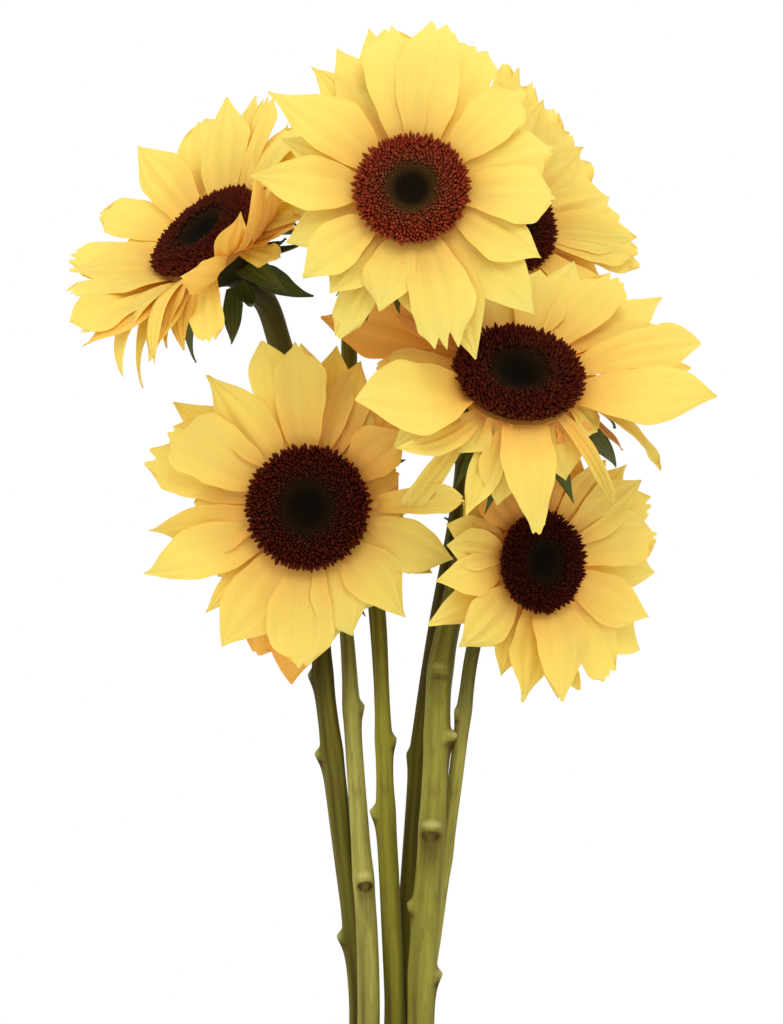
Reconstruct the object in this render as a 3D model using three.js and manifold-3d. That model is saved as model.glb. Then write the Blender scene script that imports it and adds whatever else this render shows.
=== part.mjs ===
// Six cut sunflowers standing in a plain glass vase of water.
// Millimetres, +Z up, front of the bunch towards -Y. The origin is the centre of the vase's foot.
import * as THREE from "three";
import { mergeVertices } from "three/addons/utils/BufferGeometryUtils.js";
import Module from "manifold-3d";

const wasm = await Module();
wasm.setup();

// ---- driving sizes -------------------------------------------------------------------------
const SEAT_GAP = 0.3; // clearance where two pieces touch

const VASE_HEIGHT = 250;
const VASE_WALL = 3.2;
const VASE_FLOOR = 9;
const VASE_SIDES = 20;
// The vase's outside, [radius, height] up from the foot: a round body, a narrow neck for the stems and a flared lip.
const VASE_OUTSIDE = [
  [38, 0], [44, 3], [51, 22], [57, 62], [57, 98], [49, 138], [36, 176], [26.6, 208], [25.4, 222], [27, 236],
  [33, VASE_HEIGHT - 1.5], [33, VASE_HEIGHT],
];
const WATER_LEVEL = 148;

const RAYS_PER_ROW = 13;
const RAY_THICKNESS = 0.8;
const RAY_ROOT = { in: 3, down: 1.1 }; // where a front ray starts: inside the disc's rim, and below the ring's top
const ROW_STEP = { rise: 9, down: 1.4 }; // how far each row of rays lies behind the one in front: degrees and mm
const RING_DEPTH = 3.6; // of the ring between the disc and the cup that the rays grow from
const RING_WIDTH = 5.5;

const DISC_RINGS = [0.22, 0.45, 0.65, 0.84]; // shares of the disc's radius where its relief is shaped
const DISC_SECTORS = 24;
const DISC_FOOT = 4.5; // how far the disc narrows to its foot
const FLORET_RELIEF = 0.9;

const HEAD_DEPTH = 27; // from the disc's underside back to where the stem enters the cup
const HEAD_SIDES = 13; // of the ring and of the cup
const BRACTS_PER_HEAD = 11;
const BRACT_THICKNESS = 1.0;
const BRACT_WIDTH = 12.5;
const BRACT_REACH = 0.45; // a bract's length, as a share of the rays' reach
const BRACT_BEHIND = 16; // degrees that the bracts lie behind the back row of rays
const BRACT_DROOP = 26;

const STEM_SIDES = 8;
const STEM_STATIONS = 15;
const STEM_INTO_CUP = 8;
const CUT_SLANT = 0.35; // rise of the slanted cut across a stem, per mm of its width
const NUB_HEIGHT = 5;

// One entry for each flower: where its disc sits, where it faces, and how its rays are held.
// near is the side of the disc that comes forward, an angle in the disc's plane from its own +x, in degrees.
// rise lifts the rays off the disc's plane at their root, and droop curls them back along their length, both
// as [far side, near side]. longer makes the rays longer by a share on the side at an angle.
const FLOWERS = {
  left: {
    centre: [-75.7, 12, 585.2], facing: [-0.56, -0.5, 0.66], discRadius: 26, rayReach: 67, rayWidth: 19,
    near: 330, rise: [30, 56], droop: [14, 88], longer: [0, 0], turn: 0, seed: 11, stemRadius: [4.6, 4.7],
    stem: [[-15, -22], [-13, -17, 150], [-10.6, -11.5, 222], [-9.8, -9, 267], [-10.9, -3, 300], [-12.4, 6, 335],
      [-15.6, 22, 380], [-20.5, 36, 428], [-29.5, 45, 480], [-37, 47, 512], [-46.7, 43, 541],
      [-53, 36, 560]],
    nubs: [[0.43, 20], [0.62, 300]],
  },
  front: {
    centre: [-33.8, -4, 473.5], facing: [-0.12, -0.991, 0.05], discRadius: 26, rayReach: 70, rayWidth: 19.5,
    near: 270, rise: [12, 12], droop: [20, 24], longer: [0, 0], turn: 10, seed: 23, stemRadius: [4.3, 4.1],
    stem: [[-26, 6], [-21, 5, 150], [-15.6, 4, 222], [-13.3, 3.4, 267], [-16.4, 8, 300], [-20, 13, 333],
      [-24.4, 20, 372], [-28.2, 25, 405], [-30.5, 29, 430]],
    nubs: [[0.45, 190], [0.66, 170]],
  },
  top: {
    centre: [7.9, -45, 598.5], facing: [-0.05, -0.965, 0.26], discRadius: 23.5, rayReach: 73, rayWidth: 19,
    near: 270, rise: [12, 10], droop: [20, 20], longer: [0, 0], turn: 0, seed: 5, stemRadius: [4.1, 3.6],
    stem: [[2, -9], [2, -6, 150], [1.4, -3.6, 222], [1.2, -3, 267], [0.4, 0, 310], [-2.4, 5, 350],
      [-3.6, 12, 392], [-6.4, 20, 431], [-12, 25, 480], [-17.5, 21, 525], [-15, 13, 560]],
    nubs: [[0.52, 10], [0.4, 180]],
  },
  rear: {
    centre: [48.6, 59, 597], facing: [0.595, -0.761, 0.259], discRadius: 24.5, rayReach: 74, rayWidth: 18.5,
    near: 190, rise: [18, 12], droop: [18, 16], longer: [0.1, 350], turn: 7, seed: 37, stemRadius: [3.7, 3.4],
    stem: [[3, 25], [4.6, 18, 150], [5.2, 10.8, 222], [5.5, 9.5, 267], [6.3, 10, 297], [9, 13, 344],
      [11.6, 17, 374], [15.6, 22, 398], [20, 28, 425], [30, 50, 490], [31, 66, 545]],
    nubs: [[0.5, 200]],
  },
  middle: {
    centre: [50.4, -32, 524.8], facing: [0.116, -0.731, 0.672], discRadius: 27, rayReach: 73, rayWidth: 21,
    near: 270, rise: [4, -28], droop: [10, 12], longer: [0.2, 30], turn: 5, seed: 41, stemRadius: [5.4, 5.0],
    stem: [[23, -17], [18, -13.5, 150], [12.6, -9.4, 222], [11.7, -8, 267], [13.1, -7, 298], [15.8, -4, 335],
      [18.2, 2, 372], [19.8, 7, 405], [24.5, 12, 430], [33, 14, 462], [41, 10, 488]],
    nubs: [[0.55, 250], [0.47, 265], [0.63, 20]],
  },
  low: {
    centre: [58.6, -18, 451.8], facing: [0.53, -0.848, 0.0], discRadius: 21, rayReach: 59, rayWidth: 17,
    near: 180, rise: [6, 2], droop: [8, 20], longer: [0.12, 315], turn: 9, seed: 53, stemRadius: [3.2, 3.0],
    stem: [[26, 8], [21, 7, 150], [14.6, 5.4, 222], [12.9, 4, 267], [16.6, 6, 298], [22.2, 7, 340],
      [27, 5, 366], [30.6, 3, 388], [34, 1.5, 412], [37.5, 0, 430]],
    nubs: [[0.66, 200]],
  },
};

const CLEAR = { metalness: 0, transparent: true, opacity: 0.35 };
const MATERIALS = {
  glass: new THREE.MeshStandardMaterial({ color: 0xe6efec, roughness: 0.03, ...CLEAR }),
  water: new THREE.MeshStandardMaterial({ color: 0xdbe8e4, roughness: 0.02, ...CLEAR }),
  rays: new THREE.MeshStandardMaterial({ color: 0xf3cf52, roughness: 0.6, metalness: 0 }),
  disc: new THREE.MeshStandardMaterial({ color: 0x3a0d0a, roughness: 0.85, metalness: 0 }),
  green: new THREE.MeshStandardMaterial({ color: 0x7c8034, roughness: 0.65, metalness: 0 }),
};

// ---- small tools ---------------------------------------------------------------------------
const radians = THREE.MathUtils.degToRad;

// Repeatable numbers from 0 to 1.
function numbersFrom(seed) {
  let state = seed;
  return () => {
    state = (state * 1664525 + 1013904223) % 4294967296;
    return state / 4294967296;
  };
}

// A closed three.js geometry as a manifold-3d solid.
function solidFrom(geometry) {
  const bare = geometry.index ? geometry.toNonIndexed() : geometry.clone();
  bare.deleteAttribute("normal");
  bare.deleteAttribute("uv");
  const merged = mergeVertices(bare, 1e-4);
  const triVerts = new Uint32Array(merged.index.array);
  return new wasm.Manifold(
    new wasm.Mesh({ numProp: 3, vertProperties: merged.attributes.position.array, triVerts }),
  );
}

// A manifold-3d solid as a named three.js mesh.
function meshFrom(solid, name, material) {
  const made = solid.getMesh();
  const geometry = new THREE.BufferGeometry();
  geometry.setAttribute("position", new THREE.BufferAttribute(new Float32Array(made.vertProperties), 3));
  geometry.setIndex(new THREE.BufferAttribute(new Uint32Array(made.triVerts), 1));
  geometry.computeVertexNormals();
  const mesh = new THREE.Mesh(geometry, material);
  mesh.name = name;
  return mesh;
}

function fuse(solids) {
  return solids.reduce((whole, next) => whole.add(next));
}

// The largest body of a solid, without the scraps that a cut can leave beside it.
function largestBody(solid) {
  return solid.decompose().reduce((best, next) => (next.volume() > best.volume() ? next : best));
}

// The frame of a flower's head: +z is the way it faces, +x lies level to the right, and its origin is the disc's centre.
function headFrame(flower) {
  const z = new THREE.Vector3(...flower.facing).normalize();
  const x = new THREE.Vector3(0, 0, 1).cross(z).normalize();
  const y = new THREE.Vector3().crossVectors(z, x);
  return new THREE.Matrix4().makeBasis(x, y, z).setPosition(...flower.centre);
}

// A solid of revolution about +Z. Its [radius, height] pairs run up its outside and close on themselves or the axis.
function revolved(profile, sides) {
  const points = profile.map(([radius, height]) => new THREE.Vector2(radius, height));
  const geometry = new THREE.LatheGeometry(points, sides);
  geometry.rotateX(Math.PI / 2);
  return geometry;
}

// ---- blades: rays and bracts ---------------------------------------------------------------
// A point on a blade's midrib, which leaves its root at the angle rise and turns back evenly by droop along its length.
function midribPoint(length, rise, droop, share) {
  const turned = droop * share;
  const half = turned / 2;
  const chord = length * share * (Math.abs(half) < 1e-6 ? 1 : Math.sin(half) / half);
  return { out: chord * Math.cos(rise - half), up: chord * Math.sin(rise - half), angle: rise - turned };
}

// The width of a blade along its length, as a share of its widest: a narrow claw, a broad middle and a pointed tip.
function bladeWidth(share, claw, widest) {
  if (share < widest) return claw + (1 - claw) * Math.sin(((share / widest) * Math.PI) / 2);
  return 1 - Math.pow((share - widest) / (1 - widest), 2.1);
}

// A thin closed blade in the head's frame: a left and a right point at each of its rows on both faces, and one tip.
function bladeSolid({ azimuth, root, length, width, rise, droop, claw, widest, rows, thickness }) {
  const out = new THREE.Vector3(Math.cos(azimuth), Math.sin(azimuth), 0);
  const side = new THREE.Vector3(-out.y, out.x, 0);
  const upper = [];
  const lower = [];
  for (const share of [...rows, 1]) {
    const rib = midribPoint(length, rise, droop, share);
    const normal = out.clone().multiplyScalar(-Math.sin(rib.angle)).setZ(Math.cos(rib.angle));
    const middle = out.clone().multiplyScalar(root[0] + rib.out).setZ(root[1] + rib.up);
    const halfWidth = (width * bladeWidth(share, claw, widest)) / 2;
    for (const step of share === 1 ? [0] : [-1, 1]) {
      const point = middle.clone().addScaledVector(side, step * halfWidth);
      upper.push(point);
      lower.push(point.clone().addScaledVector(normal, -thickness));
    }
  }
  const under = upper.length;
  const tip = under - 1;
  const index = [];
  const quad = (a, b, c, d) => index.push(a, b, c, a, c, d);
  quad(0, 1, under + 1, under);
  for (let left = 0; left < tip; left += 2) {
    const right = left + 1;
    const [nextLeft, nextRight] = left + 2 < tip ? [left + 2, left + 3] : [tip, tip];
    index.push(left, nextLeft, right, under + right, under + nextLeft, under + left);
    if (nextLeft !== tip) index.push(nextLeft, nextRight, right, under + right, under + nextRight, under + nextLeft);
    quad(under + left, under + nextLeft, nextLeft, left);
    quad(right, nextRight, under + nextRight, under + right);
  }
  const geometry = new THREE.BufferGeometry();
  const points = [...upper, ...lower];
  geometry.setAttribute("position", new THREE.Float32BufferAttribute(points.flatMap((p) => p.toArray()), 3));
  geometry.setIndex(index);
  return solidFrom(geometry);
}

// A [far, near] pair's value at an azimuth. It leaves the far side's slowly and gathers towards the near side.
function heldAt(flower, pair, azimuth) {
  const nearness = ((1 + Math.cos(azimuth - radians(flower.near))) / 2) ** 2;
  return pair[0] + (pair[1] - pair[0]) * nearness;
}

// Each ray of a head with its own angle, length, width and curl. Row 0 is the front one.
function raysOf(flower) {
  const draw = numbersFrom(flower.seed);
  const [stretch, stretchAt] = flower.longer;
  const rays = [];
  for (const row of [0, 1]) {
    for (let place = 0; place < RAYS_PER_ROW; place += 1) {
      const jitter = [draw(), draw(), draw(), draw(), draw()].map((n) => n - 0.5);
      const azimuth = radians(((place + row / 2 + jitter[0] * 0.3) * 360) / RAYS_PER_ROW + flower.turn);
      const stretched = 1 + stretch * Math.cos(azimuth - radians(stretchAt));
      rays.push({
        row,
        azimuth,
        length: (flower.rayReach - flower.discRadius + RAY_ROOT.in) * stretched * (1 + jitter[1] * 0.16),
        width: flower.rayWidth * (1 + jitter[2] * 0.16),
        rise: radians(heldAt(flower, flower.rise, azimuth) - row * ROW_STEP.rise + jitter[3] * 5),
        droop: radians(heldAt(flower, flower.droop, azimuth) * (1 + jitter[4] * 0.3)),
      });
    }
  }
  return rays;
}

// All the rays of a head, fused to the narrow ring that they grow from round the disc.
function rayRingSolid(flower) {
  const outer = flower.discRadius - 0.5;
  const inner = outer - RING_WIDTH;
  const top = -SEAT_GAP;
  const bottom = top - RING_DEPTH;
  const section = [[inner, bottom], [outer, bottom], [outer, top], [inner, top], [inner, bottom]];
  const ring = solidFrom(revolved(section, HEAD_SIDES));
  const blades = raysOf(flower).map((ray) => {
    const root = [flower.discRadius - RAY_ROOT.in, top - RAY_ROOT.down - ray.row * ROW_STEP.down];
    return bladeSolid({ ...ray, root, claw: 0.36, widest: 0.5, rows: [0, 0.36, 0.72], thickness: RAY_THICKNESS });
  });
  return fuse([ring, ...blades]);
}

// ---- the dark disc -------------------------------------------------------------------------
// Height of the disc's face: a raised wreath of open florets round a sunken middle of buds.
function discHeight(share) {
  return 4.6 + 2.2 * Math.sin(Math.PI * Math.min(1, share * 1.05)) ** 1.5 - 2.0 * Math.exp(-((share / 0.3) ** 2));
}

// The disc: florets as relief that alternates from place to place, over a foot that stands inside the rays' roots.
function discSolid(flower) {
  const radius = flower.discRadius;
  const points = [new THREE.Vector3(0, 0, discHeight(0))];
  const addRing = (ringRadius, height, relief, offset) => {
    for (let sector = 0; sector < DISC_SECTORS; sector += 1) {
      const angle = ((sector + offset) * 2 * Math.PI) / DISC_SECTORS;
      const sign = sector % 2 === 0 ? 1 : -1;
      const out = ringRadius + sign * relief.out;
      points.push(new THREE.Vector3(out * Math.cos(angle), out * Math.sin(angle), height + sign * relief.up));
    }
  };
  DISC_RINGS.forEach((share, ring) => {
    addRing(radius * share, discHeight(share), { out: 0, up: FLORET_RELIEF * share }, ring / 2);
  });
  addRing(radius * 0.965, 4.2, { out: 0.035 * radius, up: 0.5 }, DISC_RINGS.length / 2);
  addRing(radius - DISC_FOOT, 0, { out: 0, up: 0 }, DISC_RINGS.length / 2);
  points.push(new THREE.Vector3(0, 0, 0));
  const index = [];
  const rings = DISC_RINGS.length + 2;
  const at = (ring, sector) => 1 + ring * DISC_SECTORS + (sector % DISC_SECTORS);
  for (let sector = 0; sector < DISC_SECTORS; sector += 1) {
    index.push(0, at(0, sector), at(0, sector + 1));
    for (let ring = 0; ring + 1 < rings; ring += 1) {
      index.push(at(ring, sector), at(ring + 1, sector), at(ring + 1, sector + 1));
      index.push(at(ring, sector), at(ring + 1, sector + 1), at(ring, sector + 1));
    }
    index.push(at(rings - 1, sector + 1), at(rings - 1, sector), points.length - 1);
  }
  const geometry = new THREE.BufferGeometry();
  geometry.setAttribute("position", new THREE.Float32BufferAttribute(points.flatMap((p) => p.toArray()), 3));
  geometry.setIndex(index);
  return solidFrom(geometry);
}

// ---- the green parts: stem, cup and bracts -------------------------------------------------
// A round bar along a smooth path. Its radius changes evenly from start to end, and its start can be cut on a slant.
function stemBar(points, radii, stations, slant) {
  const path = new THREE.CatmullRomCurve3(points, false, "centripetal");
  const frames = path.computeFrenetFrames(stations, false);
  const vertices = [];
  for (let station = 0; station <= stations; station += 1) {
    const share = station / stations;
    const centre = path.getPointAt(share);
    const radius = radii[0] + (radii[1] - radii[0]) * share;
    for (let corner = 0; corner < STEM_SIDES; corner += 1) {
      const angle = (corner * 2 * Math.PI) / STEM_SIDES;
      const offset = frames.normals[station].clone().multiplyScalar(radius * Math.cos(angle));
      offset.addScaledVector(frames.binormals[station], radius * Math.sin(angle));
      const vertex = centre.clone().add(offset);
      if (station === 0) vertex.addScaledVector(frames.tangents[0], (offset.x + radius) * slant);
      vertices.push(vertex);
    }
  }
  const index = [];
  const at = (station, corner) => station * STEM_SIDES + (corner % STEM_SIDES);
  for (let corner = 0; corner < STEM_SIDES; corner += 1) {
    for (let station = 0; station < stations; station += 1) {
      index.push(at(station, corner), at(station, corner + 1), at(station + 1, corner + 1));
      index.push(at(station, corner), at(station + 1, corner + 1), at(station + 1, corner));
    }
    if (corner > 0 && corner + 1 < STEM_SIDES) {
      index.push(at(0, 0), at(0, corner + 1), at(0, corner));
      index.push(at(stations, 0), at(stations, corner), at(stations, corner + 1));
    }
  }
  const geometry = new THREE.BufferGeometry();
  geometry.setAttribute("position", new THREE.Float32BufferAttribute(vertices.flatMap((p) => p.toArray()), 3));
  geometry.setIndex(index);
  return { solid: solidFrom(geometry), path };
}

// The points that a flower's stem runs through, from its cut end on the vase's floor up into the back of the cup.
function stemPoints(flower, frame) {
  const [foot, ...upper] = flower.stem;
  const cupEnd = new THREE.Vector3(0, 0, -HEAD_DEPTH).applyMatrix4(frame);
  const insideCup = new THREE.Vector3(0, 0, -HEAD_DEPTH + STEM_INTO_CUP).applyMatrix4(frame);
  return [
    new THREE.Vector3(foot[0], foot[1], VASE_FLOOR + SEAT_GAP + 0.4),
    ...upper.map((p) => new THREE.Vector3(...p)),
    cupEnd,
    insideCup,
  ];
}

// A short scar where a leaf was stripped off: a small cone that leans up and out of the stem.
function nubSolid(path, share, angle, stemRadius) {
  const root = path.getPointAt(share);
  const out = new THREE.Vector3(Math.cos(radians(angle)), Math.sin(radians(angle)), 0);
  const cone = new THREE.CylinderGeometry(0.9, stemRadius * 0.75, NUB_HEIGHT, 6);
  const turn = new THREE.Quaternion().setFromUnitVectors(
    new THREE.Vector3(0, 1, 0),
    out.clone().multiplyScalar(0.8).setZ(0.6).normalize(),
  );
  cone.applyQuaternion(turn);
  cone.translate(...root.addScaledVector(out, stemRadius * 0.72).toArray());
  return solidFrom(cone);
}

// The bracts: pointed green blades that stand out of the cup behind the rays. None of them leans further forward than
// a little behind the disc's plane.
function bractSolids(flower, cupTop) {
  const draw = numbersFrom(flower.seed + 1000);
  const root = [flower.discRadius - 9, cupTop - 2.4];
  const bracts = [];
  for (let place = 0; place < BRACTS_PER_HEAD; place += 1) {
    const jitter = [draw(), draw(), draw()].map((n) => n - 0.5);
    const azimuth = ((place + jitter[0] * 0.3) * 2 * Math.PI) / BRACTS_PER_HEAD;
    const rise = Math.min(heldAt(flower, flower.rise, azimuth) - ROW_STEP.rise - BRACT_BEHIND, -8) + jitter[2] * 8;
    const length = flower.rayReach * BRACT_REACH * (1 + jitter[1] * 0.2);
    bracts.push(
      bladeSolid({
        azimuth, root, length, width: BRACT_WIDTH, rise: radians(rise), droop: radians(BRACT_DROOP),
        claw: 0.5, widest: 0.34, rows: [0, 0.42], thickness: BRACT_THICKNESS,
      }),
    );
  }
  return bracts;
}

// A flower's green parts in one: the stem with its scars, the cup whose core carries the disc, and the bracts.
function greenSolid(flower) {
  const frame = headFrame(flower);
  const radius = flower.discRadius;
  const neck = flower.stemRadius[1];
  const top = -RING_DEPTH - 2 * SEAT_GAP;
  const core = radius - 0.5 - RING_WIDTH - SEAT_GAP;
  const outline = [
    [0, -HEAD_DEPTH - 1], [neck, -HEAD_DEPTH - 1], [neck * 1.5, -HEAD_DEPTH + 6], [radius * 0.6, -14.5],
    [radius - 6, -9], [radius - 4.5, top], [core, top], [core, -SEAT_GAP], [0, -SEAT_GAP],
  ];
  const cup = solidFrom(revolved(outline, HEAD_SIDES));
  const head = fuse([cup, ...bractSolids(flower, top)]).transform(frame.elements);
  const bar = stemBar(stemPoints(flower, frame), flower.stemRadius, STEM_STATIONS, CUT_SLANT);
  const nubs = flower.nubs.map(([share, angle]) => nubSolid(bar.path, share, angle, flower.stemRadius[0]));
  return fuse([bar.solid, head, ...nubs]);
}

// ---- vase and water ------------------------------------------------------------------------
// The vase's inside at the same heights, a wall's thickness in.
function vaseInside() {
  const wallPart = VASE_OUTSIDE.slice(2, -2).map(([radius, height]) => [radius - VASE_WALL, height]);
  return [[36, VASE_FLOOR], [43, VASE_FLOOR + 4], ...wallPart, [29.8, VASE_HEIGHT]];
}

function vaseSolid() {
  const inside = vaseInside().reverse();
  return solidFrom(revolved([[0, 0], ...VASE_OUTSIDE, ...inside, [0, VASE_FLOOR]], VASE_SIDES));
}

// The radius of the vase's inside at a height, between the corners of its profile.
function insideRadius(height) {
  const profile = vaseInside();
  const upper = profile.findIndex(([, z]) => z > height);
  const [r0, z0] = profile[upper - 1];
  const [r1, z1] = profile[upper];
  return r0 + ((r1 - r0) * (height - z0)) / (z1 - z0);
}

// The water fills the vase to its level, with a plain hole for each stem.
function waterSolid(stems) {
  const below = vaseInside().filter(([, height]) => height < WATER_LEVEL - 4);
  const wall = [...below, [insideRadius(WATER_LEVEL), WATER_LEVEL]];
  const profile = wall.map(([radius, height]) => [radius - SEAT_GAP, height]);
  const base = VASE_FLOOR + SEAT_GAP;
  profile[0][1] = base;
  const full = solidFrom(revolved([[0, base], ...profile, [0, WATER_LEVEL]], VASE_SIDES));
  return largestBody(fuse([full]).subtract(fuse(stems)));
}

// A stem's hole in the water: its own bar, a little thicker, and run on through the water's underside.
function stemHole(flower) {
  const points = stemPoints(flower, headFrame(flower)).slice(0, 4);
  const below = points[0].clone().setZ(VASE_FLOOR - 6);
  const radius = (flower.stemRadius[0] + SEAT_GAP) / Math.cos(Math.PI / STEM_SIDES);
  return stemBar([below, ...points], [radius, radius], 5, 0).solid;
}

// ---- assembly ------------------------------------------------------------------------------
const sunflowersInVase = new THREE.Group();
sunflowersInVase.add(meshFrom(vaseSolid(), "vase", MATERIALS.glass));
sunflowersInVase.add(meshFrom(waterSolid(Object.values(FLOWERS).map(stemHole)), "water", MATERIALS.water));
for (const [name, flower] of Object.entries(FLOWERS)) {
  const frame = headFrame(flower).elements;
  sunflowersInVase.add(meshFrom(rayRingSolid(flower).transform(frame), `rays_${name}`, MATERIALS.rays));
  sunflowersInVase.add(meshFrom(discSolid(flower).transform(frame), `disc_${name}`, MATERIALS.disc));
  sunflowersInVase.add(meshFrom(greenSolid(flower), `stem_${name}`, MATERIALS.green));
}

export default sunflowersInVase;
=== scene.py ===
# Six cut sunflowers standing in a plain glass vase of water: the finish of every piece, round the packed
# frame. Blender's metres, +Z up, front of the bunch towards -Y. Sizes in the dictionaries are in mm and degrees.
import bpy
import numpy as np
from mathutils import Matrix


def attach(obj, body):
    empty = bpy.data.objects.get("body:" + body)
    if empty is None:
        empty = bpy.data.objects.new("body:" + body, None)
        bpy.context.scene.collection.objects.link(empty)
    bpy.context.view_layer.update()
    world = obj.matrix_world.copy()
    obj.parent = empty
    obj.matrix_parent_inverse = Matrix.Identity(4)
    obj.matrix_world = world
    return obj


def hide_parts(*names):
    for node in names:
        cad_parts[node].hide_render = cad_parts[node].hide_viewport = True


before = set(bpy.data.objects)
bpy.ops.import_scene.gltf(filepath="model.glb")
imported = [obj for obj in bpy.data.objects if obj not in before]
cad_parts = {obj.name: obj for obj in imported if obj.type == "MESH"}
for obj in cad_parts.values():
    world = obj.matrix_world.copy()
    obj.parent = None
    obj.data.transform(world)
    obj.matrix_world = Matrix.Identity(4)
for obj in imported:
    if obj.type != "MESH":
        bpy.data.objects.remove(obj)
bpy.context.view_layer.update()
print("frame loaded:", len(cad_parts), "nodes")

mm = 0.001
seatGap = 0.3  # mm, the clearance that the frame's own pieces keep

view = {
    "distance": 1300, "height": 472,  # of the camera from the bunch's axis, and over the floor
    "mmPerPixel": 0.41,  # on the plane of the axis
    "frame": (783, 1024),  # pixels: the picture's size
    "middle": (392, 512),  # pixels: where the bunch's axis and the camera's level lie in it
    "sensor": 36, "farthest": 20,  # mm, and metres
}

lamps = {
    # place in metres, what it points at, size in metres, power in watts, colour
    "key": ((0.35, -1.3, 1.85), (0, 0, 0.5), 0.9, 15.5, (1.0, 0.98, 0.95)),
    "fill": ((-1.5, -1.1, 0.9), (0, 0, 0.5), 1.2, 4, (0.95, 0.98, 1.0)),
}

stage = {
    "radius": 1.4, "depth": 6, "sides": 96,  # of the floor: metres, mm, and corners round it
    "floor": (236, 236, 234), "mottle": (255, 255, 255), "mottleShare": 0.02, "mottleScale": 3.0, "roughness": 0.7,
    "sky": (255, 255, 255), "skyLight": 1.08,
}


# A colour of 0 to 255 as a picture shows it, as Blender's linear values with alpha.
def srgb(red, green, blue):
    c = np.array([red, green, blue]) / 255
    linear = np.where(c <= 0.04045, c / 12.92, ((c + 0.055) / 1.055) ** 2.4)
    return (*linear.tolist(), 1.0)


# A new object of some data, in the scene.
def placed(name, data):
    thing = bpy.data.objects.new(name, data)
    bpy.context.scene.collection.objects.link(thing)
    return thing


def placeCamera():
    data = bpy.data.cameras.new("photoCamera")
    data.sensor_width = view["sensor"]
    data.lens = view["sensor"] * view["distance"] / (view["frame"][1] * view["mmPerPixel"])
    data.shift_x = (view["frame"][0] / 2 - view["middle"][0]) / view["frame"][1]
    data.clip_end = view["farthest"]
    camera = placed("photoCamera", data)
    camera.location = (0, -view["distance"] * mm, view["height"] * mm)
    camera.rotation_euler = (np.pi / 2, 0, 0)
    bpy.context.scene.camera = camera


def hangLamps():
    for name, (place, target, size, power, colour) in lamps.items():
        data = bpy.data.lights.new(name, "AREA")
        data.size = size
        data.energy = power
        data.color = colour
        lamp = placed(name, data)
        aim = np.subtract(target, place)
        lamp.location = place
        lamp.rotation_euler = (np.arctan2(np.hypot(aim[0], aim[1]), -aim[2]), 0, np.arctan2(-aim[0], aim[1]))


# The sky is white to the camera, and a little dimmer as light.
def paintSky():
    world = bpy.data.worlds.new("studio")
    world.use_nodes = True
    tree = world.node_tree
    shown = tree.nodes["Background"]
    shown.inputs["Color"].default_value = srgb(*stage["sky"])
    light = addNode(tree, "Background", Color=srgb(*stage["sky"]), Strength=stage["skyLight"])
    toCamera = addNode(tree, "LightPath").outputs["Is Camera Ray"]
    tree.links.new(mixedShaders(tree, toCamera, light, shown), tree.nodes["World Output"].inputs[0])
    bpy.context.scene.world = world


# Small tools for meshes. A patch is a dictionary of arrays: points, quads and tris as indices of points, uv,
# and any other value for each point.
def patch(points, quads=(), tris=(), uv=None, **values):
    points = np.reshape(points, (-1, 3)).astype(float)
    count = len(points)
    made = {
        "points": points,
        "quads": np.reshape(quads, (-1, 4)).astype(int),
        "tris": np.reshape(tris, (-1, 3)).astype(int),
        "uv": np.zeros((count, 2)) if uv is None else np.reshape(uv, (count, 2)),
    }
    made.update({name: np.broadcast_to(np.ravel(value), (count,)) for name, value in values.items()})
    return made


# One patch of several: each one's indices move up by the number of points before it.
def joined(patches):
    starts = np.cumsum([0] + [len(made["points"]) for made in patches])
    return {
        key: np.concatenate([
            made[key] + start if key in ("quads", "tris") else made[key] for made, start in zip(patches, starts)
        ])
        for key in patches[0]
    }


# A closed patch with its faces pointing out: they turn round where the volume that they enclose is negative.
def outward(made):
    points = made["points"] - made["points"].mean(0)
    quads = made["quads"]
    triangles = np.concatenate([made["tris"], quads[:, [0, 1, 2]], quads[:, [0, 2, 3]]])
    a, b, c = (points[triangles[:, corner]] for corner in range(3))
    if np.einsum("ij,ij->i", a, np.cross(b, c)).sum() < 0:
        made = {**made, "quads": quads[:, ::-1], "tris": made["tris"][:, ::-1]}
    return made


# 1 where a value is 0, falling away on both sides by the width.
def bell(value, width):
    return np.exp(-((value / width) ** 2))


def unit(vectors):
    vectors = np.asarray(vectors, float)
    return vectors / np.linalg.norm(vectors, axis=-1, keepdims=True)


# A thin closed sheet from two grids of points, rows along it and columns across it, with a wall round their
# edge. under is 1 on its lower face.
def slab(top, bottom, uv, **values):
    rows, columns = top.shape[:2]
    count = rows * columns
    index = np.arange(count).reshape(rows, columns)
    upper = np.stack([index[:-1, :-1], index[:-1, 1:], index[1:, 1:], index[1:, :-1]], -1).reshape(-1, 4)
    rim = np.concatenate([index[0, :-1], index[:-1, -1], index[-1, :0:-1], index[:0:-1, 0]])
    ahead = np.roll(rim, -1)
    wall = np.stack([ahead, rim, rim + count, ahead + count], -1)
    both = {name: np.tile(np.ravel(np.broadcast_to(value, index.shape)), 2) for name, value in values.items()}
    return outward(patch(
        np.concatenate([top.reshape(-1, 3), bottom.reshape(-1, 3)]),
        np.concatenate([upper, upper[:, ::-1] + count, wall]),
        uv=np.tile(uv.reshape(-1, 2), (2, 1)), under=np.repeat([0.0, 1.0], count), **both,
    ))


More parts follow.
